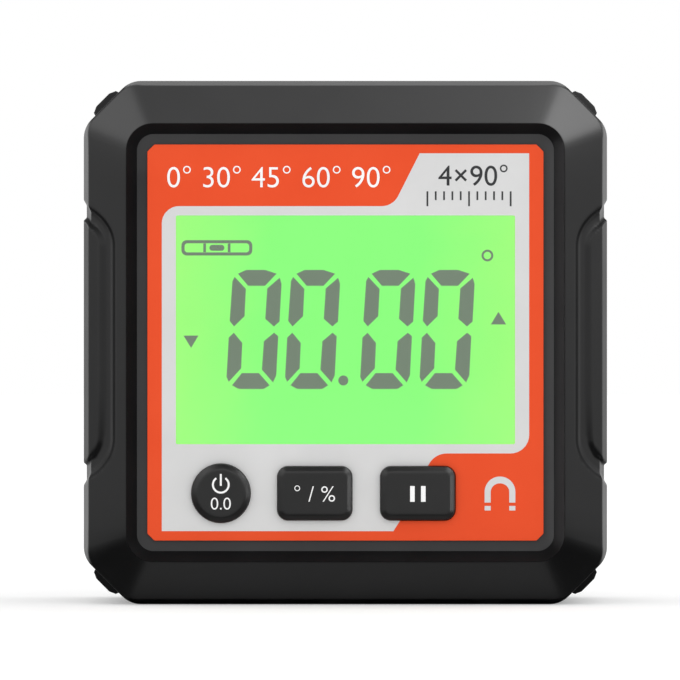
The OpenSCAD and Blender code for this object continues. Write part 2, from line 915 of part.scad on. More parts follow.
// Conical coil from its foot on a contact plate to a cell's flat end.
module coil_spring(side, z) {
  sides = 8;
  steps = round(spring_turns * 20);
  r = spring_wire / 2;
  run = spring_l - spring_wire;
  points = [
    for (i = [0:steps], k = [0:sides - 1])
      let (
        f = i / steps,
        a = 360 * spring_turns * f,
        b = 360 * k / sides,
        coil = spring_foot_r + (spring_tip_r - spring_foot_r) * f + r * cos(b)
      )
      [r + run * f + r * sin(b), coil * cos(a), coil * sin(a)]
  ];
  walls = [
    for (i = [0:steps - 1], k = [0:sides - 1])
      let (n = (k + 1) % sides)
      [i * sides + k, i * sides + n, (i + 1) * sides + n, (i + 1) * sides + k]
  ];
  ends = [
    [for (k = [sides - 1:-1:0]) k],
    [for (k = [0:sides - 1]) steps * sides + k]
  ];
  color([0.82, 0.82, 0.8])
    translate([side * (bay_half_l - contact_t), y_cell, half + z])
      rotate([0, 0, side > 0 ? 180 : 0])
        polyhedron(points, concat(walls, ends));
}

module battery_door() {
  color([0.14, 0.14, 0.15])
    difference() {
      union() {
        through(y_ledge + door_seat_gap, y_back)
          rounded_rect(2 * door_half_w, 2 * door_half_h, door_r);
        for (s = [-1, 1])
          translate([s * tongue_x, 0, 0]) {
            through(y_tongue, y_ledge + door_seat_gap + eps)
              pane(tongue_w, tongue_foot - tongue_root, tongue_foot);
            through(y_tongue, y_tongue + tongue_t)
              pane(tongue_w, tongue_foot - tongue_root, bay_out_h + tongue_reach);
          }
        through(y_ledge - nose_d, y_ledge + door_seat_gap + eps)
          pane(latch_w, -door_half_h + door_gap, -door_half_h + door_gap + nose_h);
      }
      for (s = [-1, 1])
        through(y_ledge - nose_d - 1, y_back + eps)
          translate([s * (latch_w + latch_slot) / 2 - latch_slot / 2, -door_half_h - eps])
            square([latch_slot, latch_l + eps]);
      for (k = [0:2])
        across(-latch_w / 2 + 1, latch_w / 2 - 1)
          translate([y_back, half - door_half_h + 2 + 1.4 * k])
            circle(r = latch_groove, $fn = 4);
    }
}

module case_screws() {
  color([0.25, 0.25, 0.27])
    at_posts()
      difference() {
        union() {
          bar(0, 0, screw_dia / 2, y_seat - screw_l, y_seat + eps);
          bar(0, 0, screw_head_dia / 2, y_seat, y_seat + screw_head_h);
        }
        cross_slot(y_seat + screw_head_h, screw_head_dia * 0.55, screw_head_h * 0.5);
      }
}

module base_magnet(side, y) {
  color([0.7, 0.71, 0.73])
    translate([side * magnet_x, y, magnet_sink])
      cylinder(d = magnet_dia, h = magnet_t);
}

front_shell();
rear_shell();
face_label();
display_window();
display_gasket();
lcd_glass();
light_guide();
reflector_sheet();
lcd_frame();
connector_strip();
backlight_lamp(-1);  // left_lamp
backlight_lamp(1);  // right_lamp
main_board();
board_screws();
controller_chip();
tilt_sensor();
tact_switch(power_x);  // power_switch
tact_switch(unit_x);  // unit_switch
tact_switch(hold_x);  // hold_switch
switch_plunger(power_x);  // power_plunger
switch_plunger(unit_x);  // unit_plunger
switch_plunger(hold_x);  // hold_plunger
power_button();
oblong_button(unit_x);  // unit_button
oblong_button(hold_x);  // hold_button
cell(cell_z, 1);  // upper_cell
cell(-cell_z, -1);  // lower_cell
tail_contact(cell_z);  // positive_contact
tail_contact(-cell_z);  // negative_contact
bridge_contact();
coil_spring(-1, cell_z);  // left_spring
coil_spring(1, -cell_z);  // right_spring
battery_door();
case_screws();
base_magnet(-1, magnet_ys[0]);  // front_left_magnet
base_magnet(1, magnet_ys[0]);  // front_right_magnet
base_magnet(-1, magnet_ys[1]);  // rear_left_magnet
base_magnet(1, magnet_ys[1]);  // rear_right_magnet
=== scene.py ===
# %% [markdown]
# # Dressing a digital angle gauge
# The gauge arrives as an exact frame: one mesh for each real piece, grouped in bodies that slide or
# swing. Those meshes are true in size but have razor edges and no finish. In this lesson the pieces
# that the eye meets first are modelled again with soft edges, the inner pieces keep their frame
# meshes, and everything gets a surface. All sizes are written in millimetres and turned into metres
# where Blender takes them over.

# %% Load the frame
import math

import bmesh
import bpy
import numpy as np
from mathutils import Matrix, Vector


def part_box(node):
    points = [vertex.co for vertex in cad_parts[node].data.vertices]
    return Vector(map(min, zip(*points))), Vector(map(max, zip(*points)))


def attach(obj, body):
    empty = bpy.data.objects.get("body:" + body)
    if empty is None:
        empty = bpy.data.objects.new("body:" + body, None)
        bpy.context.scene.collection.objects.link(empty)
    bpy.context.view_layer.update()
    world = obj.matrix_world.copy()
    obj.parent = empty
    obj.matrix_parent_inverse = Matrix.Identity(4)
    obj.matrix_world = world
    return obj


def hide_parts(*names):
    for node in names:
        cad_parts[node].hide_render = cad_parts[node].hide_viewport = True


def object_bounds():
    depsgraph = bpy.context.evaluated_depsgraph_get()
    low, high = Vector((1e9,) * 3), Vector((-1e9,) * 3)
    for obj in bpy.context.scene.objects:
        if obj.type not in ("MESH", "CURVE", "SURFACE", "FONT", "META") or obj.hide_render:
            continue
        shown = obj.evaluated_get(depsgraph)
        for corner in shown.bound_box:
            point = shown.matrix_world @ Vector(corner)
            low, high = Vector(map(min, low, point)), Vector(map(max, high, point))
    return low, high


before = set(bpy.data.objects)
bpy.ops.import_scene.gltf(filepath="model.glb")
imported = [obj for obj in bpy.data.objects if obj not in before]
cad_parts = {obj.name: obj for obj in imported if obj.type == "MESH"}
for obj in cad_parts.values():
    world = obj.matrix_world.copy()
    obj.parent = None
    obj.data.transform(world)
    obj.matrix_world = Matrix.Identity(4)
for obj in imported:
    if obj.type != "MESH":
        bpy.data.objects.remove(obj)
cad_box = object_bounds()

MM = 0.001

# %% [markdown]
# ## Sizes from the frame
# Two models of one thing stay in step when one takes its sizes from the other. So the places of the
# keys, the label or the door are read from the frame's pieces, with heights counted from the middle of
# the case. Only what the frame doesn't tell, such as the radius of an edge, is a new number here.

# %% Measure the frame
MIDDLE = round((cad_box[0][2] + cad_box[1][2]) / 2 / MM, 3)


def extent(node):
    return [np.round(np.array(corner) / MM - (0, 0, MIDDLE), 3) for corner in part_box(node)]


HALF, Y_BACK = extent("rear_shell")[1][:2]
Y_SEAM, Y_RIM = extent("rear_shell")[0][1], extent("front_shell")[0][1]
print("case:", 2 * HALF, "mm wide,", Y_BACK - Y_RIM, "mm deep, seam at", Y_SEAM)

# %% [markdown]
# ## The outline of the case
# Seen from the front the case is a square with cut corners, and each cut ends in two round fillets.
# A subdivided square would need dense points everywhere. Here they lie close where something happens,
# at the ends of the grips and on the flanks of the corner ribs, and far apart where nothing does.

# %% Points along the outline
LEG, FILLET = 5.3, 3.0
grip_ends = np.arange(10.6, 16.7, 0.16)
GRIP_ROWS = np.concatenate([[-21, -18.7], -grip_ends[::-1], np.linspace(-9, 9, 7), grip_ends, [18.7, 21]])
PLAIN_ROWS = np.linspace(-21, 21, 13)
CUT = LEG * math.sqrt(2) - 2 * FILLET * math.tan(math.pi / 8)
rib_flank = np.array([0.5, 0.85, 1.0, 1.15, 1.4, 1.65, 1.76, 1.84, 1.92, 2.0, 2.3])
CUT_ROWS = 0.5 + np.concatenate([-rib_flank[::-1], [0], rib_flank]) / CUT
FILLET_TURN = np.linspace(0, math.pi / 4, 7)
print("straight part of a cut corner:", round(CUT, 2), "mm")

# %% [markdown]
# A ring runs once round the outline. One quarter is worked out and turned four times, first a side
# with a grip and then a plain one. All rings have the same points in the same order, also the rings
# of the recess with their plain round corners, so neighbours always join into quads.

# %% Rings round the case
def arc(x, z, width, height, angles):
    return [(x + width * math.cos(a), z + height * math.sin(a)) for a in angles]


def whole_turn(corner, half):
    points = []
    for (c, s), rows in zip([(1, 0), (0, 1), (-1, 0), (0, -1)], (GRIP_ROWS, PLAIN_ROWS) * 2):
        points += [(x * c - z * s, x * s + z * c) for x, z in [(half, z) for z in rows] + corner]
    return np.array(points)


def cut_ring(inset):
    half = HALF - inset
    leg = LEG - inset * (2 - math.sqrt(2))
    low = half - leg - FILLET * math.tan(math.pi / 8)
    first = arc(half - FILLET, low, FILLET, FILLET, FILLET_TURN)
    last = [(z, x) for x, z in reversed(first)]
    start, end = np.array(first[-1]), np.array(last[0])
    return whole_turn(first + [tuple(start + (end - start) * f) for f in CUT_ROWS] + last, half)


def round_ring(half, radius):
    turn = np.linspace(0, math.pi / 2, 2 * len(FILLET_TURN) + len(CUT_ROWS))
    return whole_turn(arc(half - radius, half - radius, radius, radius, turn), half)


def at_depth(ring, y):
    return np.column_stack([ring[:, 0], np.broadcast_to(y, len(ring)), ring[:, 1]])


print("points in a ring:", len(cut_ring(0)), len(round_ring(24, 2)))

# %% [markdown]
# ## The front shell
# A steep band climbs from the seam along the four sides and narrows to nothing round the corners. Then
# a broad bevel of eight facets climbs to the rim. Bevel modifiers would have to be tuned edge by edge,
# so all of it is one height field over the outline: each facet is a plane, and the deepest plane wins.
# A soft maximum of the planes rounds the ridges between them, much as a polished mould does.

# %% Soft ridges
RIDGE_ROUND, BAND_ROUND, RIM_ROUND = 0.32, 0.05, 0.01


def soft_max(a, b, width):
    return np.maximum(a, b) + width * np.log1p(np.exp(-np.abs(a - b) / width))


def soft_top(levels, width):
    top = levels.max(axis=0)
    return top + width * np.log(np.exp((levels - top) / width).sum(axis=0))


print("a ridge is rounded off by", round(float(soft_top(np.zeros(2), RIDGE_ROUND)), 2), "mm")

# %% [markdown]
# The depth at a point follows from its distance to the sides and to the cut corners. The band's width
# follows from the way the outline runs there: full along the sides, nothing on the cuts.

# %% Depth of the front face
SEAM_GAP, EDGE, BEVEL, RIM_LAND, CLIMB = 0.25, 0.6, 4.4, 0.05, 3.5
Y_BAND, Y_EDGE = Y_SEAM - SEAM_GAP, Y_RIM + CLIMB
MOUTH, MOUTH_R = HALF - EDGE - BEVEL - RIM_LAND, 3.0
SLOPE = CLIMB / BEVEL
CUT_REACH = (2 * HALF - LEG) / math.sqrt(2)


def turned(ring):
    along = abs(np.roll(ring, -1, axis=0) - np.roll(ring, 1, axis=0))
    return np.arctan2(along.min(axis=1), along.max(axis=1)) / (math.pi / 4)


def band_width(ring):
    return EDGE * np.sqrt(np.clip(1 - turned(ring), 0.0004, 1))


def face_depth(ring, width, step):
    x, z = abs(ring[:, 0]), abs(ring[:, 1])
    gaps = np.array([HALF - x, HALF - z, CUT_REACH - (x + z) / math.sqrt(2)])
    band = Y_BAND + (Y_EDGE - Y_BAND) * step / width
    bevel = soft_top(Y_EDGE - SLOPE * (gaps - EDGE), RIDGE_ROUND)
    return soft_max(soft_max(band, bevel, BAND_ROUND), Y_RIM, RIM_ROUND)


print("the bevel rises", round(math.degrees(math.atan(SLOPE)), 1), "degrees")

# %% [markdown]
# Each side carries a grip: a pad that wraps from the bevel over the side to the back, with a shallow
# moat round it. A cut with a Boolean would leave sharp shores, so the moat is a depth that depends on
# two distances, to the pad and to the outer shore. The outer shore is gentle and the inner one steep.
# Towards the lower end the pad gives way a little.

# %% Moat round the grips
PAD, SHORE = (12.6, 14.0, 2.95), (14.1, 16.6, 5.65)
MOAT_DEPTH, SHORE_RUN, PAD_RUN, PAD_EDGE = 0.35, 0.8, 0.44, 0.06
LOW_START, LOW_RUN, LOW_SHIFT, LOW_STEEPER = 8, 4, 0.22, 0.08


def box_distance(u, v, half_u, half_v, radius):
    a, b = abs(u) - half_u + radius, abs(v) - half_v + radius
    return np.hypot(np.maximum(a, 0), np.maximum(b, 0)) + np.minimum(np.maximum(a, b), 0) - radius


def ease(value):
    value = np.clip(value, 0, 1)
    return value * value * (3 - 2 * value)


def moat(y, z):
    low = ease((-z - LOW_START) / LOW_RUN)
    inner = (box_distance(y, z, *PAD) + PAD_EDGE + LOW_SHIFT * low) / (PAD_RUN - LOW_STEEPER * low)
    return MOAT_DEPTH * ease(-box_distance(y, z, *SHORE) / SHORE_RUN) * ease(inner)


print("moat depth beside the pad:", round(float(moat(np.array(13.1), np.array(0.0))), 2), "mm")

# %% [markdown]
# Now the face is laid out as a grid of rings, from the seam to the rim, and the moat is pressed into it
# along the grid's own normals. On the two rings at the seam the normals are poor, so there the moat is
# pressed in straight from the side.

# %% Face of the front shell
STEPS = np.concatenate([
    [0, 0.12, 0.3, 0.42, 0.5, 0.55, 0.6, 0.65, 0.7, 0.8, 1.0, 1.3], np.arange(1.5, 4.2, 0.1),
    [4.4, 4.6, 4.8, 4.95, HALF - MOUTH]])


def outward(grid):
    along = np.roll(grid, -1, axis=1) - np.roll(grid, 1, axis=1)
    normal = np.cross(along, np.gradient(grid, axis=0))
    return normal / np.linalg.norm(normal, axis=2, keepdims=True)


outer, mouth = cut_ring(0), round_ring(MOUTH, MOUTH_R)
seam = [at_depth(cut_ring(SEAM_GAP), Y_SEAM), at_depth(cut_ring(0.1), Y_SEAM - 0.13)]
climb = [outer + (mouth - outer) * step / (HALF - MOUTH) for step in STEPS]
plain_face = np.array(seam + [at_depth(ring, face_depth(ring, band_width(outer), step))
                              for ring, step in zip(climb, STEPS)])
inward = -outward(plain_face)
inward[:2] = -np.sign(plain_face[:2]) * (1, 0, 0)
press = moat(plain_face[:, :, 1], plain_face[:, :, 2])
face = plain_face + inward * press[:, :, None]
print("moat is pressed in by up to", round(float(press.max()), 2), "mm")

# %% [markdown]
# ## Colours and nodes
# Before the first piece is made it needs a surface. Colours are written as they look on a screen, as
# hex codes, and turned into the linear values that the renderer works with. One function adds a shader
# node with its settings, its links and, on a colour ramp, its stops. Materials could also be clicked
# together by hand, but as code they can be repeated.

# %% Colours and nodes
def tone(code):
    parts = [int(code[i:i + 2], 16) / 255 for i in (1, 3, 5)]
    return [c / 12.92 if c <= 0.04045 else ((c + 0.055) / 1.055) ** 2.4 for c in parts] + [1.0]


def add(tree, kind, inputs=None, stops=(), **settings):
    node = tree.nodes.new(kind)
    for name, value in settings.items():
        setattr(node, name, value)
    for socket, value in (inputs or {}).items():
        if isinstance(value, bpy.types.NodeSocket):
            tree.links.new(value, node.inputs[socket])
        else:
            node.inputs[socket].default_value = value
    for i, (place, code) in enumerate(stops):
        marks = node.color_ramp.elements
        mark = marks[i] if i < len(marks) else marks.new(place)
        mark.position, mark.color = place, tone(code)
    return node


print("a middle grey in linear light:", [round(c, 3) for c in tone("#808080")[:3]])

# %% [markdown]
# Most pieces share one kind of surface: a colour that drifts a little between two tones, a roughness
# that drifts with it, and a fine grain in the height. One flat colour would look like a drawing. The
# sizes of the patterns are given in millimetres, because a noise texture with scale 1 repeats about
# once a metre.

# %% A surface with grain
# A pixel of the picture is about 0.11 mm wide. Spark erosion and plating leave a grain of 0.03 mm or
# less, which wouldn't show, so no grain in this file is drawn finer than 0.15 mm.
PATCH, ROUGH_DRIFT = 7.0, 0.02


def blank(name):
    material = bpy.data.materials.new(name)
    material.use_nodes = True
    material.node_tree.nodes.clear()
    return material, material.node_tree


def surface(name, dark, light, rough, grain, bump, **inputs):
    material, tree = blank(name)
    place = add(tree, "ShaderNodeTexCoord").outputs["Object"]
    drift = add(tree, "ShaderNodeTexNoise", {
        "Vector": place, "Scale": 1 / (PATCH * MM), "Detail": 3.0}).outputs["Fac"]
    grit = add(tree, "ShaderNodeTexNoise", {
        "Vector": place, "Scale": 1 / (grain * MM), "Detail": 2.0}).outputs["Fac"]
    gloss = add(tree, "ShaderNodeMapRange", {
        "Value": drift, "From Min": 0.3, "From Max": 0.7,
        "To Min": rough - ROUGH_DRIFT, "To Max": rough + ROUGH_DRIFT}).outputs["Result"]
    relief = add(tree, "ShaderNodeBump", {
        "Height": grit, "Distance": bump * MM, "Strength": 1.0}).outputs["Normal"]
    colour = add(tree, "ShaderNodeValToRGB", {"Fac": drift}, [(0.35, dark), (0.65, light)]).outputs["Color"]
    shader = add(tree, "ShaderNodeBsdfPrincipled", {
        "Base Color": colour, "Roughness": gloss, "Normal": relief, **inputs})
    add(tree, "ShaderNodeOutputMaterial", {"Surface": shader.outputs["BSDF"]})
    return material


print("colour patches of about", PATCH, "mm")

# %% [markdown]
# The shells are black ABS from a spark-eroded mould. A black like this is lit almost only by what it
# reflects, so the colour is very dark and the roughness decides the look. The mould has several
# textures. They could be one material with masks, but as materials of their own they stay simple.

# %% Plastics of the shells
ABS, DULL_ABS = {"IOR": 1.54}, {"IOR": 1.54, "Specular IOR Level": 0.06}
# Satin: broad, soft lights that follow the bevel.
shell_abs = surface("black ABS, satin mould texture", "#0C0C0D", "#101011", 0.36, 0.22, 0.0016, **ABS)
# Coarse: the same black with wider, weaker lights and a grain that a finger feels.
grip_abs = surface("black ABS, coarse grip texture", "#0C0C0D", "#101011", 0.5, 0.35, 0.006, **ABS)
# Matt: an even dark grey with hardly a light on it.
panel_abs = surface("black ABS, matt panel texture", "#2F2F30", "#333334", 0.5, 0.2, 0.003, **ABS)
# Dull: walls of a recess, which the mould maker can't polish, stay black from all sides.
wall_abs = surface("black ABS, dull eroded texture", "#131314", "#171718", 0.6, 0.2, 0.002, **DULL_ABS)
print("plastics:", [material.name for material in (shell_abs, grip_abs, panel_abs, wall_abs)])

# %% [markdown]
# In narrow places of the shell the polish of the mould fades out. A second material would end at the
# border of a face and look dashed, so an attribute of the mesh, called dull, takes the shine away step
# by step. Where it is 1, almost no mirror light is left and the rest is blurred.

# %% Dull places of the shell
FULL_SHINE, DULL_SHINE, DULL_BLUR = 0.5, 0.04, 0.4
tree = shell_abs.node_tree
satin = tree.nodes["Principled BSDF"].inputs
fade = add(tree, "ShaderNodeAttribute", attribute_name="dull").outputs["Fac"]
shine = add(tree, "ShaderNodeMapRange", {"Value": fade, "To Min": FULL_SHINE, "To Max": DULL_SHINE})
blur = add(tree, "ShaderNodeMath", {0: fade, 1: DULL_BLUR, 2: satin["Roughness"].links[0].from_socket},
           operation="MULTIPLY_ADD")
tree.links.new(shine.outputs["Result"], satin["Specular IOR Level"])
tree.links.new(blur.outputs["Value"], satin["Roughness"])
print("shell nodes:", len(tree.nodes))

# %% [markdown]
# ## Meshes
# A solid is made from rings of points, one behind the other, with a skin of quads between them. A
# subdivided box could give soft edges too, but not these exact facets. Shading is smooth across
# shallow edges. Large faces are flat in truth and stay flat, or their shading would lean towards their
# rounded borders.

# %% Mesh makers
CREASE, FLAT_AREA = math.radians(32), 20 * MM * MM


def skin(rings, closed=False, capped=False):
    count, size = len(rings), len(rings[0])
    faces = []
    if capped:
        faces = [tuple(range(size)), tuple(range((count - 1) * size, count * size))]
    for k in range(count if closed else count - 1):
        a, b = k * size, (k + 1) % count * size
        faces += [(a + i, a + (i + 1) % size, b + (i + 1) % size, b + i) for i in range(size)]
    return faces


def solid(name, points, faces):
    mesh = bpy.data.meshes.new(name)
    mesh.from_pydata([(x * MM, y * MM, (MIDDLE + z) * MM) for x, y, z in points], [], faces)
    work = bmesh.new()
    work.from_mesh(mesh)
    bmesh.ops.recalc_face_normals(work, faces=work.faces)
    work.to_mesh(mesh)
    work.free()
    obj = bpy.data.objects.new(name, mesh)
    bpy.context.scene.collection.objects.link(obj)
    return obj


def soften(mesh):
    mesh.set_sharp_from_angle(angle=CREASE)
    mesh.polygons.foreach_set("use_smooth", [polygon.area < FLAT_AREA for polygon in mesh.polygons])


print("edges over", round(math.degrees(CREASE)), "degrees stay sharp")

# %% [markdown]
# A mesh becomes a piece of the gauge when it has its materials, hangs on the body it moves with,
# and hides the frame pieces it stands for.

# %% Piece makers
def dress(obj, body, slot, *materials, stands_for=()):
    obj.data.materials.clear()
    for material in materials:
        obj.data.materials.append(material)
    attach(obj, body)
    if stands_for:
        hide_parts(*stands_for)
    return obj


def piece(name, points, faces, body, slot, *materials, stands_for=()):
    obj = solid(name, points, faces)
    soften(obj.data)
    return dress(obj, body, slot, *materials, stands_for=stands_for)


# %% [markdown]
# From the rim the skin drops down a leaning wall to the sunken panel, runs under the label, and
# returns on the inside along the lip that locates the two shells. A thickness modifier would blunt
# the lip, so the inside is laid in rings as well. The rings close on themselves, and the shell is a
# true solid. A plate with openings for the window and the keys will close its middle.

# %% Front shell
Y_FLOOR, FLOOR, FLOOR_R = extent("face_label")[1][1], MOUTH - 1.1, 1.9
INNER, INNER_R, Y_INSIDE, Y_LIP, WALL, LIP = 22.0, 0.9, -12.0, -8.0, 3.1, 2.1
rim, foot = face[-1][:, 1], round_ring(FLOOR, FLOOR_R)
rings = [*face, at_depth(mouth + (foot - mouth) * 0.03, rim + 0.05)]
for part in (0.08, 0.16, 0.3, 0.5, 0.7, 0.85, 0.93, 0.98):
    rings.append(at_depth(mouth + (foot - mouth) * part, rim + (Y_FLOOR - rim) * part))
for inset, radius in ((0.02, FLOOR_R), (0.06, FLOOR_R), (0.6, 1.7), (FLOOR - INNER, INNER_R)):
    rings.append(at_depth(round_ring(FLOOR - inset, radius), Y_FLOOR))
rings.append(at_depth(round_ring(INNER, INNER_R), Y_INSIDE))
for inset, y in ((WALL, Y_INSIDE), (WALL, Y_LIP), (LIP, Y_LIP), (LIP, Y_SEAM), (SEAM_GAP + 0.1, Y_SEAM)):
    rings.append(at_depth(cut_ring(inset), y))
shell = piece("front_shell_skin", np.concatenate(rings), skin(rings, closed=True), "case",
              "shell_plastic", shell_abs, grip_abs, wall_abs, panel_abs, stands_for=["front_shell"])
print("front shell:", len(rings), "rings")

# %% [markdown]
# The shores of the moat are dull, so they read as dark lines: a line along the outer shore on the
# bevel, the outer slope where it turns, and a strip at the pad's upper turns. The values belong to the
# points of the mesh, which are numbered ring by ring.

# %% Dull lines beside the moat
ON_BEVEL_X, ON_BEVEL_Y, TURN_START, TURN_RUN = 25.5, 11.4, 10.8, 3.0
PAD_DULL, SLOPE_UP, SLOPE_LOW, LINE_DULL, LINE_MORE = 0.85, 0.15, 0.4, 0.7, 0.2
STRIP_RISE, STRIP_FALL = 0.1, 0.15


def strip(distance, start, stop):
    return ease((distance - start) / STRIP_RISE) * ease((stop - distance) / STRIP_FALL)


def dullness(grid):
    x, y, z = abs(grid[:, :, 0]), grid[:, :, 1], grid[:, :, 2]
    pad, shore = box_distance(y, z, *PAD), -box_distance(y, z, *SHORE)
    turn, upper = ease((abs(z) - TURN_START) / TURN_RUN), z > 0
    at_pad = strip(pad, start=-0.12, stop=0.4) * turn * upper * PAD_DULL
    slope = ease((0.85 - shore) / 0.2) * turn * np.where(upper, SLOPE_UP, SLOPE_LOW)
    line = strip(shore, start=0.05, stop=0.5) * (LINE_DULL + LINE_MORE * turn * upper)
    at_shore = np.maximum(slope, line) * (shore > 0) * (abs(y) > ON_BEVEL_Y)
    return np.maximum(at_pad, at_shore) * (x > ON_BEVEL_X)


dull_spots = dullness(plain_face)
print("dull points beside the moat:", int((dull_spots > 0.1).sum()))

# %% [markdown]
# The rim is dull too, and so is a hair-thin strip along the cut corners, where the band has died out.

# %% Dull rim and corners
RIM_DULL, CUT_DULL = 0.9, 0.75


def paint(mesh, start, values):
    table = np.zeros(len(mesh.vertices))
    table[start:start + values.size] = values.ravel()
    mesh.attributes.new("dull", "FLOAT", "POINT").data.foreach_set("value", table)


dull_spots[-1] = RIM_DULL
dull_spots[2:4] = np.maximum(dull_spots[2:4], CUT_DULL * ease((turned(outer) - 0.6) / 0.3))
paint(shell.data, 0, dull_spots)
print("dull points on the front shell:", int((dull_spots > 0.1).sum()))

# %% [markdown]
# The other finishes follow their places. The pads get the coarse texture, the leaning wall the dull one
# and the floor the matt one. A pad is found from the grid before the moat was pressed in, because that
# is where its distances hold.

# %% Finishes of the front shell
def grip_finish(x, y, z, normal_x):
    inside_pad = box_distance(y, z, *PAD) < -0.3
    return np.where((abs(x) > ON_BEVEL_X) & (abs(normal_x) > 0.3) & inside_pad, 1, 0)


def face_table(mesh):
    table = np.zeros((2, 3 * len(mesh.polygons)))
    mesh.polygons.foreach_get("center", table[0])
    mesh.polygons.foreach_get("normal", table[1])
    centre, normal = table.reshape(2, -1, 3)
    return centre / MM - (0, 0, MIDDLE), normal


centre, normal = face_table(shell.data)
on_wall = box_distance(centre[:, 0], centre[:, 2], MOUTH, MOUTH, MOUTH_R) < 0
on_floor = box_distance(centre[:, 0], centre[:, 2], FLOOR - 0.1, FLOOR - 0.1, FLOOR_R) < 0
index = np.where(on_floor, 3, np.where(on_wall, 2, 0))
index[centre[:, 1] > Y_INSIDE - 0.5] = 0
middles = (plain_face[:-1] + plain_face[1:]) / 2
middles = ((middles + np.roll(middles, -1, axis=1)) / 2).reshape(-1, 3)
on_face = slice(0, len(middles))
index[on_face] = grip_finish(*middles.T, normal[on_face, 0])
shell.data.polygons.foreach_set("material_index", index)
print("front shell quads:", len(index), "of them on the grips:", int((index == 1).sum()))

# %% [markdown]
# ## The rear shell
# The rear shell is a tub made of the same rings, stacked from the back to the seam. Two things bend
# them: ribs on the cut corners, with a gently sloping roof and steep ends, and the V-groove for pipes,
# which lifts every point of the base below it. Both are formulas, so their edges can be soft.

# %% Groove and ribs
GROOVE_FRONT, GROOVE_BACK, GROOVE_DEPTH, GROOVE_ROUND = -3.125, 5.875, 3.5, 0.05
GROOVE_MIDDLE = (GROOVE_FRONT + GROOVE_BACK) / 2
RIB_HEIGHT, RIB_HALF, RIB_ROOF, RIB_REACH = 0.76, 1.96, 1.8, 8.5
RIB_STEP, ROOF_RUN, FLANK_RUN, END_RUN = 0.6, 0.85, 0.2, 0.65


def soft_min(a, b, width):
    return -soft_max(-a, -b, width)


def groove(y):
    sides = soft_min(y - GROOVE_FRONT, GROOVE_BACK - y, GROOVE_ROUND)
    return soft_max(soft_min(sides, GROOVE_DEPTH, GROOVE_ROUND), 0.0, GROOVE_ROUND)


def above_groove(ring, y, lift):
    ring = ring.copy()
    ring[:, 1] = np.maximum(ring[:, 1], lift + groove(np.array(y)) - HALF)
    return at_depth(ring, y)


def rib(grid):
    x, y, z = abs(grid[:, :, 0]), abs(grid[:, :, 1]), abs(grid[:, :, 2])
    on_cut = (x + z) / math.sqrt(2) > CUT_REACH - 0.3
    aside = abs(x - z) / math.sqrt(2)
    roof = RIB_STEP + (1 - RIB_STEP) * ease((RIB_ROOF - aside) / ROOF_RUN)
    ends = ease((RIB_HALF - aside) / FLANK_RUN) * ease((RIB_REACH - y) / END_RUN)
    return RIB_HEIGHT * on_cut * roof * ends


print("groove depth at its middle:", round(float(groove(np.array(GROOVE_MIDDLE))), 2), "mm")

# %% [markdown]
# The rings of the tub lie close where the ribs end, at the lips of the groove and on the back bevel.
# Its outside is displaced by the ribs and the moat together.

# %% Rings of the tub
BACK_BEVEL, BACK_ROUND = 3.0, 0.06
Y_BEVEL = Y_BACK - BACK_BEVEL
rib_ends = np.array([7.7, 7.85, 8.0, 8.18, 8.35, 8.5, 8.65])
lips = np.array([-0.3, -0.15, -0.05, 0.05, 0.15, 0.3])
DEPTHS = np.concatenate([
    [-9.37, -9.25, -9.1], -rib_ends[::-1], [-5.5, -4.2],
    lips + GROOVE_FRONT, [-2.0, -1.0], lips + GROOVE_FRONT + GROOVE_DEPTH, [GROOVE_MIDDLE],
    lips + GROOVE_BACK - GROOVE_DEPTH, [3.7, 4.8], lips + GROOVE_BACK, [6.8],
    rib_ends, [9.2], np.arange(9.8, 11.9, 0.2), np.arange(12.0, 14.75, 0.08)])


def tub_inset(y):
    if y < 0:
        return max(SEAM_GAP - (y - Y_SEAM), 0)
    return float(soft_max(0.0, np.array(y - Y_BEVEL), BACK_ROUND))


plain_tub = [above_groove(cut_ring(tub_inset(y)), y, 0.0) for y in (Y_SEAM, *DEPTHS)]
plain_tub = np.array(plain_tub[::-1])
ribs = rib(plain_tub)
press = moat(plain_tub[:, :, 1], plain_tub[:, :, 2])
tub = plain_tub + outward(plain_tub) * (ribs - press)[:, :, None]
print("the ribs rise by up to", round(float(ribs.max()), 2), "mm")

# %% [markdown]
# The rings return on the inside, where they follow the groove at the distance of the wall. The ribs
# are a little dull, like the moat's lines, so the dull values of both go on the mesh together.

# %% Rear shell skin
TUB_WALL, RIB_DULL = 2.0, 0.65
TUB_FLOOR = Y_BACK - TUB_WALL
back_edge = ((0.4, 0.0), (0.12, 0.0), (0.0, 0.03), (-0.12, 0.11))
rings = [at_depth(cut_ring(BACK_BEVEL + more), Y_BACK - drop) for more, drop in back_edge]
start = sum(len(ring) for ring in rings)
rings += [*tub, at_depth(cut_ring(SEAM_GAP + 0.1), Y_SEAM)]
for y in (Y_SEAM, *DEPTHS[(DEPTHS > -9) & (DEPTHS < TUB_FLOOR - 0.1)], TUB_FLOOR):
    rings.append(above_groove(cut_ring(TUB_WALL), y, TUB_WALL))
rear = solid("rear_shell_skin", np.concatenate(rings), skin(rings, capped=True))
paint(rear.data, start, np.maximum(dullness(plain_tub), RIB_DULL * (ribs > 0.02)))
print("rear shell quads:", len(rear.data.polygons))

# %% [markdown]
# ## Openings
# Openings, keys, prints and segments are drawn as loops of points in front view, measured from the
# middle of the case. A corner is a point with a radius, and one function turns a list of corners into
# a loop with round arcs. Bezier handles could do the same, but a radius is what a drawing gives.

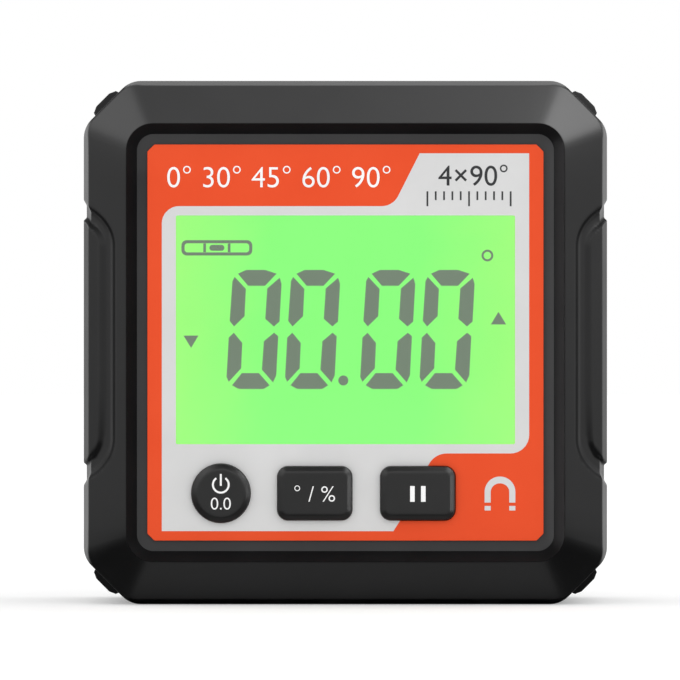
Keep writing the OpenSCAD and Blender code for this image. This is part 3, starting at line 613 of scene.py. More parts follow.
# %% Loops with round corners
def rounded(corners, n=8):
    loop = []
    for i, (x, z, radius) in enumerate(corners):
        here = np.array((x, z), float)
        back = np.array(corners[i - 1][:2], float) - here
        ahead = np.array(corners[(i + 1) % len(corners)][:2], float) - here
        back, ahead = back / np.linalg.norm(back), ahead / np.linalg.norm(ahead)
        if radius == 0:
            loop.append(tuple(here))
            continue
        angle = math.acos(np.clip(back @ ahead, -1, 1))
        run = radius / math.tan(angle / 2)
        a, b = here + back * run, here + ahead * run
        centre = here + (back + ahead) / np.linalg.norm(back + ahead) * radius / math.sin(angle / 2)
        for f in np.linspace(0, 1, n):
            spoke = (a - centre) * (1 - f) + (b - centre) * f
            loop.append(tuple(centre + spoke / np.linalg.norm(spoke) * radius))
    return loop


def oblong(x, z, w, h, r):
    corners = [(1, 1), (-1, 1), (-1, -1), (1, -1)]
    return rounded([(x + sx * w / 2, z + sz * h / 2, r) for sx, sz in corners])


def bar(x, z, w, h):
    return [(x - w / 2, z - h / 2), (x + w / 2, z - h / 2), (x + w / 2, z + h / 2), (x - w / 2, z + h / 2)]


def circle(x, z, r, n=48):
    return arc(x, z, r, r, [2 * math.pi * i / n for i in range(n)])


print("points in a rounded oblong:", len(oblong(0, 0, 4, 2, 0.5)))

# %% [markdown]
# Openings are cut with Boolean modifiers, as a mould core would leave them. A cutter is a stack of
# loops that flares at its mouth, which leaves a small chamfer. The modifier is applied at once and the
# cutter goes. Cutters that don't meet are merged and cut in one step.

# %% Cutters
CHAMFER, OVERSHOOT = 0.15, 0.2


def stack(rows):
    return np.concatenate(rows), skin(rows, capped=True)


def tower(rows):
    return stack([np.array([(x, y, z) for x, z in loop]) for loop, y in rows])


def drill(outline, start, mouth):
    return tower([(outline(0.0), start), (outline(0.0), mouth - CHAMFER),
                  (outline(CHAMFER + OVERSHOOT), mouth + OVERSHOOT)])


def merged(*parts):
    points, faces, start = [], [], 0
    for some_points, some_faces in parts:
        points.append(some_points)
        faces += [tuple(i + start for i in face) for face in some_faces]
        start += len(some_points)
    return np.concatenate(points), faces


def carve(obj, *cutters):
    for points, faces in cutters:
        tool = solid("cutter", points, faces)
        cut = obj.modifiers.new("cut", "BOOLEAN")
        cut.operation, cut.solver, cut.object = "DIFFERENCE", "EXACT", tool
        made = obj.evaluated_get(bpy.context.evaluated_depsgraph_get())
        mesh = bpy.data.meshes.new_from_object(made)
        obj.modifiers.clear()
        obj.data = mesh
        bpy.data.objects.remove(tool)


print("chamfer at the mouth of an opening:", CHAMFER, "mm")

# %% [markdown]
# The rear shell opens for the battery door and the four screw wells from behind, for a thumb scoop
# below the door, and for four magnet pockets from below. The places come from the frame's door, screws
# and magnets, plus a gap all round.

# %% Cutters for the rear shell
DOOR_LOW, DOOR_HIGH = extent("battery_door")
DOOR_W, DOOR_H, DOOR_R, DOOR_GAP = 2 * DOOR_HIGH[0], -2 * DOOR_LOW[2], 1.6, 0.15
OPEN_W, OPEN_H, OPEN_R = DOOR_W + 2 * DOOR_GAP, DOOR_H + 2 * DOOR_GAP, DOOR_R + DOOR_GAP
SCREW_HEAD, WELL_R, Y_OPEN = 2.0, 2.2, 12.0
SCOOP_Z, SCOOP_R, Y_SCOOP = -10.08, 5.67, 14.1
POCKET_R, POCKET_TOP, POCKET_CHAMFER = 2.55, 4.0, 0.1
POST = extent("case_screws")[1][0] - SCREW_HEAD
POSTS = [(sx * POST, sz * POST) for sx in (-1, 1) for sz in (-1, 1)]


def well(x, z):
    return lambda grow: circle(x, z, WELL_R + grow, 40)


def door_way(grow):
    return oblong(0, 0, OPEN_W + 2 * grow, OPEN_H + 2 * grow, OPEN_R + grow)


def pocket(magnet):
    x, y, _ = np.mean(extent(magnet), axis=0)
    rows = [(POCKET_R, POCKET_TOP), (POCKET_R, POCKET_CHAMFER),
            (POCKET_R + POCKET_CHAMFER + OVERSHOOT, -OVERSHOOT)]
    return stack([np.array([(x + u, y + v, z - MIDDLE) for u, v in circle(0, 0, r, 40)]) for r, z in rows])


wells = [drill(well(x, z), Y_OPEN, Y_BACK) for x, z in POSTS]
scoop = drill(lambda grow: circle(0, SCOOP_Z, SCOOP_R + grow, 64), Y_SCOOP, Y_BACK)
pockets = [pocket(f"{end}_{side}_magnet") for side in ("left", "right") for end in ("front", "rear")]
print("door opening", round(OPEN_W, 2), "mm wide,", len(wells), "wells,", len(pockets), "pockets")

# %% [markdown]
# A Boolean makes new faces, so the shading and the grips' texture are set when the cutting is done.

# %% Rear shell
carve(rear, merged(drill(door_way, Y_OPEN, Y_BACK), *wells, *pockets), scoop)
soften(rear.data)
dress(rear, "case", "shell_plastic", shell_abs, grip_abs, stands_for=["rear_shell"])
centre, normal = face_table(rear.data)
index = grip_finish(*centre.T, normal[:, 0])
rear.data.polygons.foreach_set("material_index", index)
print("rear shell faces:", len(index), "of them on the grips:", int((index == 1).sum()))

# %% [markdown]
# The battery bay is a box behind the door opening, with a ledge for the door and slots for the door's
# tongues and latch. It is moulded in one with the rear shell. Joining it by a Boolean would gain
# nothing that can be seen, so it is a stack of rounded oblongs of its own with the slots cut out.

# %% Battery bay
BAY_W, BAY_H, BAY_R, Y_BAY, Y_CELLS, Y_LEDGE, EASED = 49.2, 21.9, 0.6, 1.1, 2.3, 13.2, 0.1
TONGUE_X, TONGUE_W, LATCH_W, SLOT_PLAY = (-16, 16), 6.0, 10.0, 0.6
SLOT_Z, SLOT_H, Y_SLOT, Y_CATCH, Y_SLOT_END = 11.85, 2.2, 11.35, 11.7, 13.6


def block(x, z, w, h, y0, y1):
    return tower([(bar(x, z, w, h), y) for y in (y0, y1)])


rows = [(OPEN_W, OPEN_H, Y_BAY), (OPEN_W, OPEN_H, Y_LEDGE - EASED),
        (OPEN_W - EASED, OPEN_H - EASED, Y_LEDGE), (BAY_W + 2 * EASED, BAY_H + 2 * EASED, Y_LEDGE),
        (BAY_W, BAY_H, Y_LEDGE - EASED), (BAY_W, BAY_H, Y_CELLS)]
bay = solid("battery_bay", *tower([(oblong(0, 0, w, h, BAY_R), y) for w, h, y in rows]))
slots = [block(x, SLOT_Z, TONGUE_W + SLOT_PLAY, SLOT_H, Y_SLOT, Y_SLOT_END) for x in TONGUE_X]
catch = block(0, -SLOT_Z, LATCH_W + SLOT_PLAY, SLOT_H, Y_CATCH, Y_SLOT_END)
carve(bay, merged(*slots, catch))
soften(bay.data)
dress(bay, "case", "shell_plastic", panel_abs, stands_for=["rear_shell"])
print("bay faces:", len(bay.data.polygons))

# %% [markdown]
# The screw wells end in long posts. Each is a tube that narrows where the screw's head rests, closed on
# itself like the shells. All four are one piece, because the mould makes them in one.

# %% Screw posts
POST_R, SHANK_R, Y_HEAD, Y_POST = 3.2, 1.3, 0.0, -4.0
tube = [(WELL_R, TUB_FLOOR), (WELL_R, Y_HEAD), (SHANK_R, Y_HEAD), (SHANK_R, Y_POST), (POST_R, Y_POST),
        (POST_R, TUB_FLOOR)]
posts = []
for x, z in POSTS:
    rows = [np.array([(u, y, v) for u, v in circle(x, z, r, 40)]) for r, y in tube]
    posts.append((np.concatenate(rows), skin(rows, closed=True)))
piece("screw_posts", *merged(*posts), "case", "shell_plastic", shell_abs, stands_for=["rear_shell"])
print("screw posts:", len(posts))

# %% [markdown]
# ## The battery door
# The door is a plate with soft edges. Two slits free its latch finger and three grooves give a thumb
# a hold. The edge is a stack of shrinking loops instead of a bevel modifier, so that it keeps its
# exact outline in the opening.

# %% Door plate
Y_PLATE, SLIT_X, SLIT_W, SLIT_Z, SLIT_H, Y_SLIT = 13.25, (-5.3, 5.3), 0.6, -8.65, 8.1, 13.0
THUMB_ROWS, THUMB_HALF, THUMB_CUT = (-10.6, -9.2, -7.8), 4, 0.5
DOOR_EDGE = [(0.0, 0.3), (0.03, 0.17), (0.1, 0.07), (0.2, 0.015), (0.3, 0.0)]


def slit(x):
    return drill(lambda grow: bar(x, SLIT_Z, SLIT_W + 2 * grow, SLIT_H + 2 * grow), Y_SLIT, Y_BACK)


rows = [(0.15, Y_PLATE), (0.0, Y_PLATE + 0.15)] + [(inset, Y_BACK - drop) for inset, drop in DOOR_EDGE]
door = solid("door_plate", *tower([
    (oblong(0, 0, DOOR_W - 2 * inset, DOOR_H - 2 * inset, DOOR_R - inset), y) for inset, y in rows]))
diamond = [(Y_BACK + THUMB_CUT, 0), (Y_BACK, THUMB_CUT), (Y_BACK - THUMB_CUT, 0), (Y_BACK, -THUMB_CUT)]
notches = [stack([np.array([(x, y, z + rise) for y, rise in diamond]) for x in (-THUMB_HALF, THUMB_HALF)])
           for z in THUMB_ROWS]
carve(door, merged(*[slit(x) for x in SLIT_X], *notches))
soften(door.data)
dress(door, "door", "shell_plastic", shell_abs, stands_for=["battery_door"])
print("door faces:", len(door.data.polygons))

# %% [markdown]
# Behind the plate, two hooked tongues reach under the shell and a nose on the finger snaps in. Plate
# and hooks are one moulding on the real door. Here they are two pieces that swing with the same body.

# %% Door hooks
HOOK_FOOT, HOOK_STEP, Y_TONGUE, Y_ROOT = 9.3, 10.5, 12.85, 13.3
NOSE_Z, NOSE_H, Y_NOSE = -11.95, 1.0, 12.0
hook = [(DOOR_LOW[1], HOOK_FOOT), (Y_ROOT, HOOK_FOOT), (Y_ROOT, HOOK_STEP), (Y_TONGUE, HOOK_STEP),
        (Y_TONGUE, DOOR_HIGH[2]), (DOOR_LOW[1], DOOR_HIGH[2])]
hooks = [stack([np.array([(x + side * TONGUE_W / 2, y, z) for y, z in hook]) for side in (-1, 1)])
         for x in TONGUE_X]
nose = block(0, NOSE_Z, LATCH_W, NOSE_H, Y_NOSE, Y_ROOT)
piece("door_hooks", *merged(*hooks, nose), "door", "shell_plastic", shell_abs, stands_for=["battery_door"])
print("hooks on the door:", len(hooks))

# %% [markdown]
# ## The face label
# The label is a matt polycarbonate film, printed with an orange ground, a pale grey field and small
# signs. Ink differs from ink only in colour, so all of them share the film's grain and weak shine.

# %% Inks
FILM = {"IOR": 1.58, "Specular IOR Level": 0.12}
# Matt film: even, clear colours with hardly a shine.
orange_ink = surface("polycarbonate film, orange ink", "#EA4F26", "#EC5229", 0.5, 0.25, 0.0008, **FILM)
grey_ink = surface("polycarbonate film, pale grey ink", "#D6D6D6", "#DADADA", 0.5, 0.25, 0.0008, **FILM)
dark_ink = surface("polycarbonate film, dark grey ink", "#38393B", "#3E3F41", 0.5, 0.25, 0.0008, **FILM)
# Pad printing lays a thicker ink: a full white, a trace rougher than the film.
white_ink = surface("pad-printed white ink", "#F4F4F4", "#FBFBFB", 0.55, 0.2, 0.0006, **FILM)
print("inks:", [material.name for material in (orange_ink, grey_ink, dark_ink, white_ink)])

# %% [markdown]
# A flat curve with several closed splines fills itself and leaves holes where splines lie inside each
# other. That saves cutting holes, so loops become a curve first and are then turned into a mesh that
# stands upright. With a thickness and a small edge it becomes a film with rounded borders.

# %% Flat pieces
UPRIGHT = Matrix.Rotation(math.pi / 2, 4, "X") @ Matrix.Scale(MM, 4)


def flat_mesh(name, curve, y=0.0):
    draft = bpy.data.objects.new(name, curve)
    bpy.context.scene.collection.objects.link(draft)
    made = draft.evaluated_get(bpy.context.evaluated_depsgraph_get())
    mesh = bpy.data.meshes.new_from_object(made)
    bpy.data.objects.remove(draft)
    bpy.data.curves.remove(curve)
    mesh.transform(Matrix.Translation((0, y * MM, MIDDLE * MM)) @ UPRIGHT)
    mesh.name = name
    obj = bpy.data.objects.new(name, mesh)
    bpy.context.scene.collection.objects.link(obj)
    return obj


def flat(name, loops, y, body, slot, material, thick=0.0, edge=0.0, stands_for=()):
    curve = bpy.data.curves.new(name, "CURVE")
    curve.dimensions, curve.fill_mode, curve.extrude = "2D", "BOTH", thick / 2 - edge
    curve.bevel_depth, curve.bevel_resolution, curve.offset = edge, 1, -edge
    for loop in loops:
        spline = curve.splines.new("POLY")
        spline.points.add(len(loop) - 1)
        spline.points.foreach_set("co", [c for x, z in loop for c in (x, z, 0, 1)])
        spline.use_cyclic_u = True
    return dress(flat_mesh(name, curve, y=y + thick / 2), body, slot, material, stands_for=stands_for)


print("a curve's up becomes", [round(c / MM, 3) for c in UPRIGHT @ Vector((0, 1, 0))])

# %% [markdown]
# The film has cut corners and opens for the window and the keys. The frame's buttons are measured with
# their flanges and its window pane with its seat, so these come off first. The film has a thickness,
# because its cut edge shows as a fine line beside the keys.

# %% Label film
FRAME_FLANGE, PANE_SEAT, GAP, KEY_R, WINDOW_R = 0.5, 1.1, 0.05, 1.2, 0.2
LABEL, Y_LABEL = extent("face_label")[1][0], extent("face_label")[0][1]
LABEL_CUT, LABEL_R, FILM_EDGE = 0.8, 0.3, 0.05


def front_box(node, margin):
    low, high = extent(node)
    return [*(low + high)[::2] / 2, *(high - low)[::2] - 2 * margin]


POWER_X, KEY_Z, POWER_D, _ = front_box("power_button", FRAME_FLANGE)
UNIT_X, _, KEY_W, KEY_H = front_box("unit_button", FRAME_FLANGE)
HOLD_X = front_box("hold_button", FRAME_FLANGE)[0]
POWER_R, WINDOW = POWER_D / 2, front_box("display_window", PANE_SEAT)
cut = LABEL - LABEL_CUT
film = [(LABEL, -cut), (LABEL, cut), (cut, LABEL), (-cut, LABEL),
        (-LABEL, cut), (-LABEL, -cut), (-cut, -LABEL), (cut, -LABEL)]
holes = [oblong(*WINDOW, WINDOW_R), circle(POWER_X, KEY_Z, POWER_R + GAP)]
holes += [oblong(x, KEY_Z, KEY_W + 2 * GAP, KEY_H + 2 * GAP, KEY_R + GAP) for x in (UNIT_X, HOLD_X)]
flat("label_film", [rounded([(x, z, LABEL_R) for x, z in film]), *holes], Y_LABEL, "case", "label_film",
     orange_ink, Y_FLOOR - Y_LABEL, FILM_EDGE, ["face_label"])
print("label", 2 * LABEL, "mm square with", len(holes), "openings")

# %% [markdown]
# The pale field is one outline: a shoulder at the top right, round inner corners, and a foot that runs
# past the right key. Where it meets that key it follows the opening round. It lies a hair in front of
# the film, as ink does.

# %% Pale field
INK = 0.012
top, low = KEY_Z + KEY_H / 2 + GAP, KEY_Z - KEY_H / 2 - GAP
left = HOLD_X - KEY_W / 2 - GAP
field = [(-20.95, -21.51, 0), (5.47, -21.52, 0), (6.22, low, 0), (left, low, KEY_R + GAP),
         (left, top, KEY_R + GAP), (9.42, top, 0), (10.05, -12.65, 2.3), (20.96, -12.65, 2.1),
         (20.96, 21.59, 0), (8.47, 21.59, 0), (5.43, 15.56, 2.1), (-20.95, 15.56, 1.95)]
flat("label_grey_field", [rounded(field), *holes[:3]], Y_LABEL - INK, "case", "label_film", grey_ink)
print("corners of the field:", len(field))

# %% [markdown]
# Behind the film, the panel closes the middle of the front shell. It belongs to the shell's moulding
# and overlaps it a little, out of sight, which is simpler than joining the two.

# %% Front panel
PANEL, PANEL_R, PANEL_THICK, WINDOW_PLAY = 46.0, 1.5, 1.55, 0.3
x, z, w, h = WINDOW
panel_holes = [oblong(x, z, w + 2 * WINDOW_PLAY, h + 2 * WINDOW_PLAY, WINDOW_R), *holes[1:]]
flat("front_panel", [oblong(0, 0, PANEL, PANEL, PANEL_R), *panel_holes], Y_FLOOR + 0.01, "case",
     "shell_plastic", shell_abs, PANEL_THICK, stands_for=["front_shell"])
print("the panel has", len(panel_holes), "openings")

# %% [markdown]
# The top band carries a plain row of angles and the shoulder a range. They are set with Blender's own
# font. A font's size is not the height of its figures, so a nought is set first and measured, and the
# text is scaled until a nought has the wanted height.

# %% Numerals
Y_PRINT = Y_LABEL - 2 * INK


def numerals(name, text, height, x, z, y, body, slot, material, weight=0.0):
    sizes = []
    for string in ("0", text):
        curve = bpy.data.curves.new(name, "FONT")
        curve.body, curve.offset = string, weight
        draft = flat_mesh(name, curve)
        spots = np.array([v.co for v in draft.data.vertices]) / MM - (0, 0, MIDDLE)
        sizes.append((spots.min(0), spots.max(0)))
        if string != text:
            bpy.data.objects.remove(draft)
    (zero_low, zero_high), (text_low, text_high) = sizes
    scale = height / (zero_high[2] - zero_low[2])
    middle = Matrix.Translation((-(text_low[0] + text_high[0]) / 2 * MM, 0,
                                 -(MIDDLE + (zero_low[2] + zero_high[2]) / 2) * MM))
    place = Matrix.Translation((x * MM, y * MM, (MIDDLE + z) * MM))
    draft.data.transform(place @ Matrix.Scale(scale, 4) @ middle)
    return dress(draft, body, slot, material)


angles = numerals("label_angle_row", "0° 30° 45° 60° 90°", height=2.34, x=-7.6, z=18.86, y=Y_PRINT,
                  body="case", slot="label_film", material=white_ink, weight=-0.006)
numerals("label_range", "4×90°", height=2.3, x=14.55, z=19.03, y=Y_PRINT, body="case",
         slot="label_film", material=dark_ink)
reach = [v.co.x / MM for v in angles.data.vertices]
print("the row of angles is", round(max(reach) - min(reach), 1), "mm long")

# %% [markdown]
# Below the range runs a short scale of ticks, every fifth one longer. A horseshoe at the lower right
# tells that the base is magnetic: two half turns, one back and one forth, and two feet.

# %% Ticks and magnet sign
TICK_X, TICK_TOP, TICK_STEP, TICK_W, TICK, LONG_TICK = 14.1, 17.25, 0.95, 0.2, 1.0, 1.7
ticks = []
for i in range(-5, 6):
    length = TICK if i % 5 else LONG_TICK
    ticks.append(bar(TICK_X + TICK_STEP * i, TICK_TOP - length / 2, TICK_W, length))
flat("label_tick_row", ticks, Y_PRINT, "case", "label_film", dark_ink)

SIGN_X, SIGN_Z, LEG_Z, BOW_R, BOW_IN, BOW_DIP = 17.63, -17.04, -18.26, 1.756, 1.06, 0.98
FOOT_Z, FOOT_H = -18.9, 0.52
half_turn = np.linspace(0, math.pi, 24)
bow = arc(SIGN_X, SIGN_Z, BOW_R, BOW_R, half_turn) + [(SIGN_X - BOW_R, LEG_Z), (SIGN_X - BOW_IN, LEG_Z)]
bow += arc(SIGN_X, SIGN_Z, BOW_IN, BOW_DIP, half_turn[::-1])
bow += [(SIGN_X + BOW_IN, LEG_Z), (SIGN_X + BOW_R, LEG_Z)]
feet = [bar(SIGN_X + s * (BOW_R + BOW_IN) / 2, FOOT_Z, BOW_R - BOW_IN, FOOT_H) for s in (-1, 1)]
flat("label_magnet_sign", [bow, *feet], Y_PRINT, "case", "label_film", grey_ink)
print("ticks:", len(ticks), "loops in the magnet sign:", 1 + len(feet))

# %% [markdown]
# ## The display
# Behind a clear acrylic window lies a liquid crystal glass, lit from both ends by small lamps. A
# plain emission would look dead, so the glow's colour runs along one axis of the piece with a slight
# speckle. The glass shines by itself here, which is simpler than lamps behind a crystal.

# %% Display materials
GLASS_HALF, SPECK_SIZE = 21, 4


def glow(name, axis, start, end, *stops, speck=0.0, power=1.0):
    material, tree = blank(name)
    place = add(tree, "ShaderNodeTexCoord").outputs["Object"]
    cloud = add(tree, "ShaderNodeTexNoise", {
        "Vector": place, "Scale": 1 / (SPECK_SIZE * MM), "Detail": 2.0}).outputs["Fac"]
    side = add(tree, "ShaderNodeSeparateXYZ", {"Vector": place}).outputs[axis]
    across = add(tree, "ShaderNodeMapRange", {"Value": side, "From Min": start * MM, "From Max": end * MM})
    shift = add(tree, "ShaderNodeMapRange", {"Value": cloud, "To Min": -speck, "To Max": speck})
    mixed = add(tree, "ShaderNodeMath", {0: across.outputs["Result"], 1: shift.outputs["Result"]})
    colour = add(tree, "ShaderNodeValToRGB", {"Fac": mixed.outputs["Value"]}, stops).outputs["Color"]
    light = add(tree, "ShaderNodeEmission", {"Color": colour, "Strength": power})
    add(tree, "ShaderNodeOutputMaterial", {"Surface": light.outputs["Emission"]})
    return material


# Lit glass: an even green glow, a little yellower at both ends where the lamps are.
lit_glass = glow("liquid crystal glass, lit green", "X", -GLASS_HALF, GLASS_HALF, (0.0, "#9EFF75"),
                 (0.3, "#85FF76"), (0.7, "#85FF76"), (1.0, "#9EFF75"), speck=0.06, power=1.03)
# A switched segment lets some of the glow through and looks grey-green.
segment_grey = glow("switched liquid crystal segment", "X", -GLASS_HALF, GLASS_HALF, (0.0, "#6A7C68"),
                    (1.0, "#6C7E6A"), speck=0.1, power=1.03)
# Polished acrylic: clear, with a faint mirror of the room.
acrylic = surface("clear acrylic, polished", "#FDFEFD", "#FFFFFF", 0.045, 5.0, 0.0,
                  **{"Transmission Weight": 1.0, "IOR": 1.49})
print("display materials:", [material.name for material in (lit_glass, segment_grey, acrylic)])

# %% [markdown]
# The digits lean by about four degrees. A digit is six switched segments drawn once, as the first digit
# stands, and repeated at four places. A dot, a ring for degrees, two arrows that tell which way to
# turn, and a small level vial fill the rest. All of them lie just before the glass.

# %% Segments
Y_SEGMENTS = extent("lcd_glass")[0][1] - 0.02
DIGIT = [
    [(-12.29, 7.87), (-11.34, 8.30), (-9.20, 8.30), (-7.87, 7.87), (-9.20, 6.49), (-11.12, 6.49)],
    [(-12.67, 7.50), (-11.39, 6.13), (-11.54, 3.01), (-12.74, 1.84), (-13.23, 2.47), (-12.92, 7.00)],
    [(-7.52, 7.40), (-7.31, 6.69), (-7.54, 2.40), (-8.18, 1.84), (-9.16, 2.71), (-8.94, 6.18)],
    [(-12.76, 1.12), (-11.80, -0.05), (-11.93, -2.96), (-13.35, -4.49), (-13.59, -3.93), (-13.34, 0.56)],
    [(-8.16, 1.12), (-7.69, 0.72), (-7.91, -3.73), (-8.28, -4.56), (-9.55, -3.11), (-9.32, 0.15)],
    [(-11.85, -3.50), (-9.90, -3.50), (-8.67, -4.89), (-9.35, -5.31), (-12.20, -5.31), (-12.97, -4.89)],
]
DIGIT_PLACES = (0, 6.69, 15.29, 22.08)
DEGREE_X, DEGREE_Z, VIAL_X, VIAL_Z = 16.24, 9.95, -14.7, 10.83
VIAL = ((8.1, 1.75, 0.6), (7.4, 1.05, 0.35), (1.7, 0.68, 0.33))
MARK_X, MARK_W, MARK_H = 1.4, 0.3, 1.0
loops = [[(x + shift, z) for x, z in segment] for shift in DIGIT_PLACES for segment in DIGIT]
dot = circle(-0.24, -4.34, 0.57)
degree = [circle(DEGREE_X, DEGREE_Z, r) for r in (0.67, 0.43)]
arrows = [[(17.5, 3.51), (18.38, 2.07), (16.64, 2.07)], [(-18.51, 0.79), (-16.81, 0.79), (-17.65, -0.61)]]
vial = [oblong(VIAL_X, VIAL_Z, w, h, r) for w, h, r in VIAL]
vial += [bar(VIAL_X + s * MARK_X, VIAL_Z, MARK_W, MARK_H) for s in (-1, 1)]
loops += [dot, *degree, *arrows, *vial]
flat("display_segments", loops, Y_SEGMENTS, "case", "display_glass", segment_grey)
print("display shapes:", len(loops))

# %% [markdown]
# ## The keys
# A key is a cap with a soft bevel and a flange that keeps it behind the panel. Each cap is a stack of
# loops that follow the cap's profile, written as pairs of inset and drop from the flat top. A bevel
# modifier would give a round bevel, and this one is straight with eased ends. The same profile serves
# the round key and the two oblong ones.

# %% Key caps
# Fine satin: fingers have polished the keys a little, and their bevels catch narrow lights.
key_abs = surface("black ABS key, fine satin", "#181818", "#1C1C1C", 0.40, 0.18, 0.0012, **ABS)
Y_CAP, FLANGE, LEAST_R = extent("power_button")[0][1], 0.45, 0.35
PROFILE = [(-FLANGE, 3.74), (-FLANGE, 2.94), (0, 2.94), (0, 0.7), (0.005, 0.5), (0.04, 0.41), (0.1, 0.35),
           (0.2, 0.27), (0.32, 0.19), (0.44, 0.11), (0.52, 0.055), (0.6, 0.02), (0.7, 0.003), (0.85, 0),
           (1.1, 0)]


def key_cap(name, outline):
    points, faces = tower([(outline(inset), Y_CAP + drop) for inset, drop in PROFILE])
    return piece(name + "_key_cap", points, faces, name + "_key", "key_plastic", key_abs,
                 stands_for=[name + "_button"])


def oblong_key(x):
    return lambda inset: oblong(x, KEY_Z, KEY_W - 2 * inset, KEY_H - 2 * inset, max(KEY_R - inset, LEAST_R))


caps = [key_cap("power", lambda inset: circle(POWER_X, KEY_Z, POWER_R - inset, 64)),
        key_cap("unit", oblong_key(UNIT_X)), key_cap("hold", oblong_key(HOLD_X))]
print("keys:", [cap.name for cap in caps])

# %% [markdown]
# The signs on the keys are white: the usual power ring with a plain zero below it, degrees against
# per cent for the unit, and two bars for hold. They ride on the keys, so they go in with them.

# %% Signs on the keys
Y_SIGN, SIGN_LIFT, THIN = Y_CAP - INK, -0.05, -0.008
RING_Z, RING_R, RING_IN, ZERO_Z, STROKE_LIFT, STROKE = -16.2, 1.01, 0.79, -18.35, 0.55, 1.35
BAR_X, BAR_W, BAR_H = 0.62, 0.52, 1.8
sweep = np.radians(np.linspace(125, 415, 40))
ring = arc(POWER_X, RING_Z, RING_R, RING_R, sweep) + arc(POWER_X, RING_Z, RING_IN, RING_IN, sweep[::-1])
stroke = bar(POWER_X, RING_Z + STROKE_LIFT, RING_R - RING_IN, STROKE)
flat("power_sign", [ring, stroke], Y_SIGN, "power_key", "key_plastic", white_ink)
numerals("zero_sign", "0.0", height=1.36, x=POWER_X, z=ZERO_Z, y=Y_SIGN, body="power_key",
         slot="key_plastic", material=white_ink, weight=THIN)
numerals("unit_sign", "° / %", height=1.75, x=UNIT_X, z=KEY_Z + SIGN_LIFT, y=Y_SIGN, body="unit_key",
         slot="key_plastic", material=white_ink, weight=THIN)
bars = [bar(HOLD_X + s * BAR_X, KEY_Z + SIGN_LIFT, BAR_W, BAR_H) for s in (-1, 1)]
flat("hold_sign", bars, Y_SIGN, "hold_key", "key_plastic", white_ink)
print("key signs at depth", round(Y_SIGN, 3))

# %% [markdown]
# ## The pieces that keep their frame mesh
# Inner pieces and plain hardware are already right in shape, so they only get a finish each. First
# come the pieces that make the display and carry light: window, glass, gasket, frame and lamps.

# %% Finishes of the display's pieces
PLAIN, dressed = {"IOR": 1.5}, []


def wear(slot, material, *names):
    for name in names:
        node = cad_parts[name]
        node.data.materials.clear()
        node.data.materials.append(material)
    dressed.extend(names)


wear("clear_acrylic", acrylic, "display_window", "light_guide")
wear("display_glass", lit_glass, "lcd_glass")
# Foam: a dry black full of tiny pores.
foam = surface("black closed-cell foam", "#0C0C0C", "#181818", 0.9, 0.4, 0.05, **PLAIN)
wear("black_foam", foam, "display_gasket")
# Film: a smooth bright white.
white_film = surface("white reflector film", "#EDEDED", "#F5F5F5", 0.5, 0.8, 0.002, **PLAIN)
wear("white_film", white_film, "reflector_sheet")
# Moulded white: a little warm, with a weak broad shine.
white_plastic = surface("white moulded plastic", "#DEDEDA", "#E8E8E4", 0.45, 0.3, 0.002, **PLAIN)
wear("white_plastic", white_plastic, "lcd_frame", "power_plunger", "unit_plunger", "hold_plunger")
# Silicone: a soft pink without a shine.
rubber = surface("silicone connector rubber", "#C9898F", "#D2969B", 0.7, 0.3, 0.003, **PLAIN)
wear("pink_rubber", rubber, "connector_strip")
# Cast resin: a glossy pale yellow over the lamp's crystal.
resin = surface("lamp resin", "#E6DEA8", "#F0E9BC", 0.25, 1.0, 0.001, **PLAIN)
wear("lamp_resin", resin, "left_lamp", "right_lamp")
print("frame pieces with a finish:", len(dressed))

# %% [markdown]
# Next come the board with its parts and the metal ones: screws, contacts, springs and magnets. A metal
# keeps Blender's own IOR and takes its look from colour and roughness.

# %% Finishes of board and metal
METAL = {"Metallic": 1.0}
# Solder mask: a wet-looking deep green.
mask = surface("green solder mask on laminate", "#0F4A26", "#13562D", 0.3, 0.5, 0.004, **PLAIN)
wear("board_laminate", mask, "main_board")
# Bright zinc: a cool silver, slightly clouded.
zinc = surface("zinc plated steel", "#BFC2C4", "#CBCDCF", 0.32, 0.2, 0.001, **METAL)
wear("zinc_steel", zinc, "board_screws")
# Black zinc: dark steel with a metal glint.
black_zinc = surface("black zinc plated steel", "#3A3B3E", "#45464A", 0.35, 0.2, 0.001, **METAL)
wear("black_steel", black_zinc, "case_screws")
# Epoxy: a dull black stone.
epoxy = surface("moulded chip epoxy", "#161617", "#1E1E1F", 0.6, 0.15, 0.003, **PLAIN)
wear("chip_resin", epoxy, "controller_chip", "tilt_sensor")
# Switch bodies: a black satin.
switch_plastic = surface("switch plastic, satin", "#18181A", "#202022", 0.45, 0.2, 0.002, **PLAIN)
wear("switch_plastic", switch_plastic, "power_switch", "unit_switch", "hold_switch")
# Nickel: a warm silver that mirrors clearly, a trace sharper on the magnets.
nickel = surface("nickel plated steel", "#C9C4BC", "#D6D1C9", 0.22, 0.3, 0.001, **METAL)
wear("nickel_steel", nickel, "positive_contact", "negative_contact", "bridge_contact", "left_spring",
     "right_spring")
magnet = surface("nickel plated magnet", "#C6C3BD", "#D3D0CA", 0.2, 0.15, 0.0008, **METAL)
wear("nickel_magnet", magnet, "front_left_magnet", "front_right_magnet", "rear_left_magnet",
     "rear_right_magnet")
print("frame pieces with a finish:", len(dressed))

# %% [markdown]
# The two cells wear shrink-on plastic jackets, printed in plain bands, and both metal ends stay bare.
# Three meshes could do it, but the bands run along the cell, so a ramp with hard steps over its length
# gives the colour, and another one tells where the surface is metal. The cells lie in opposite
# directions.

# %% Jackets of the cells
BARE_FLAT, BAND, BAND_END, BARE_PIP = 0.015, 0.64, 0.66, 0.955


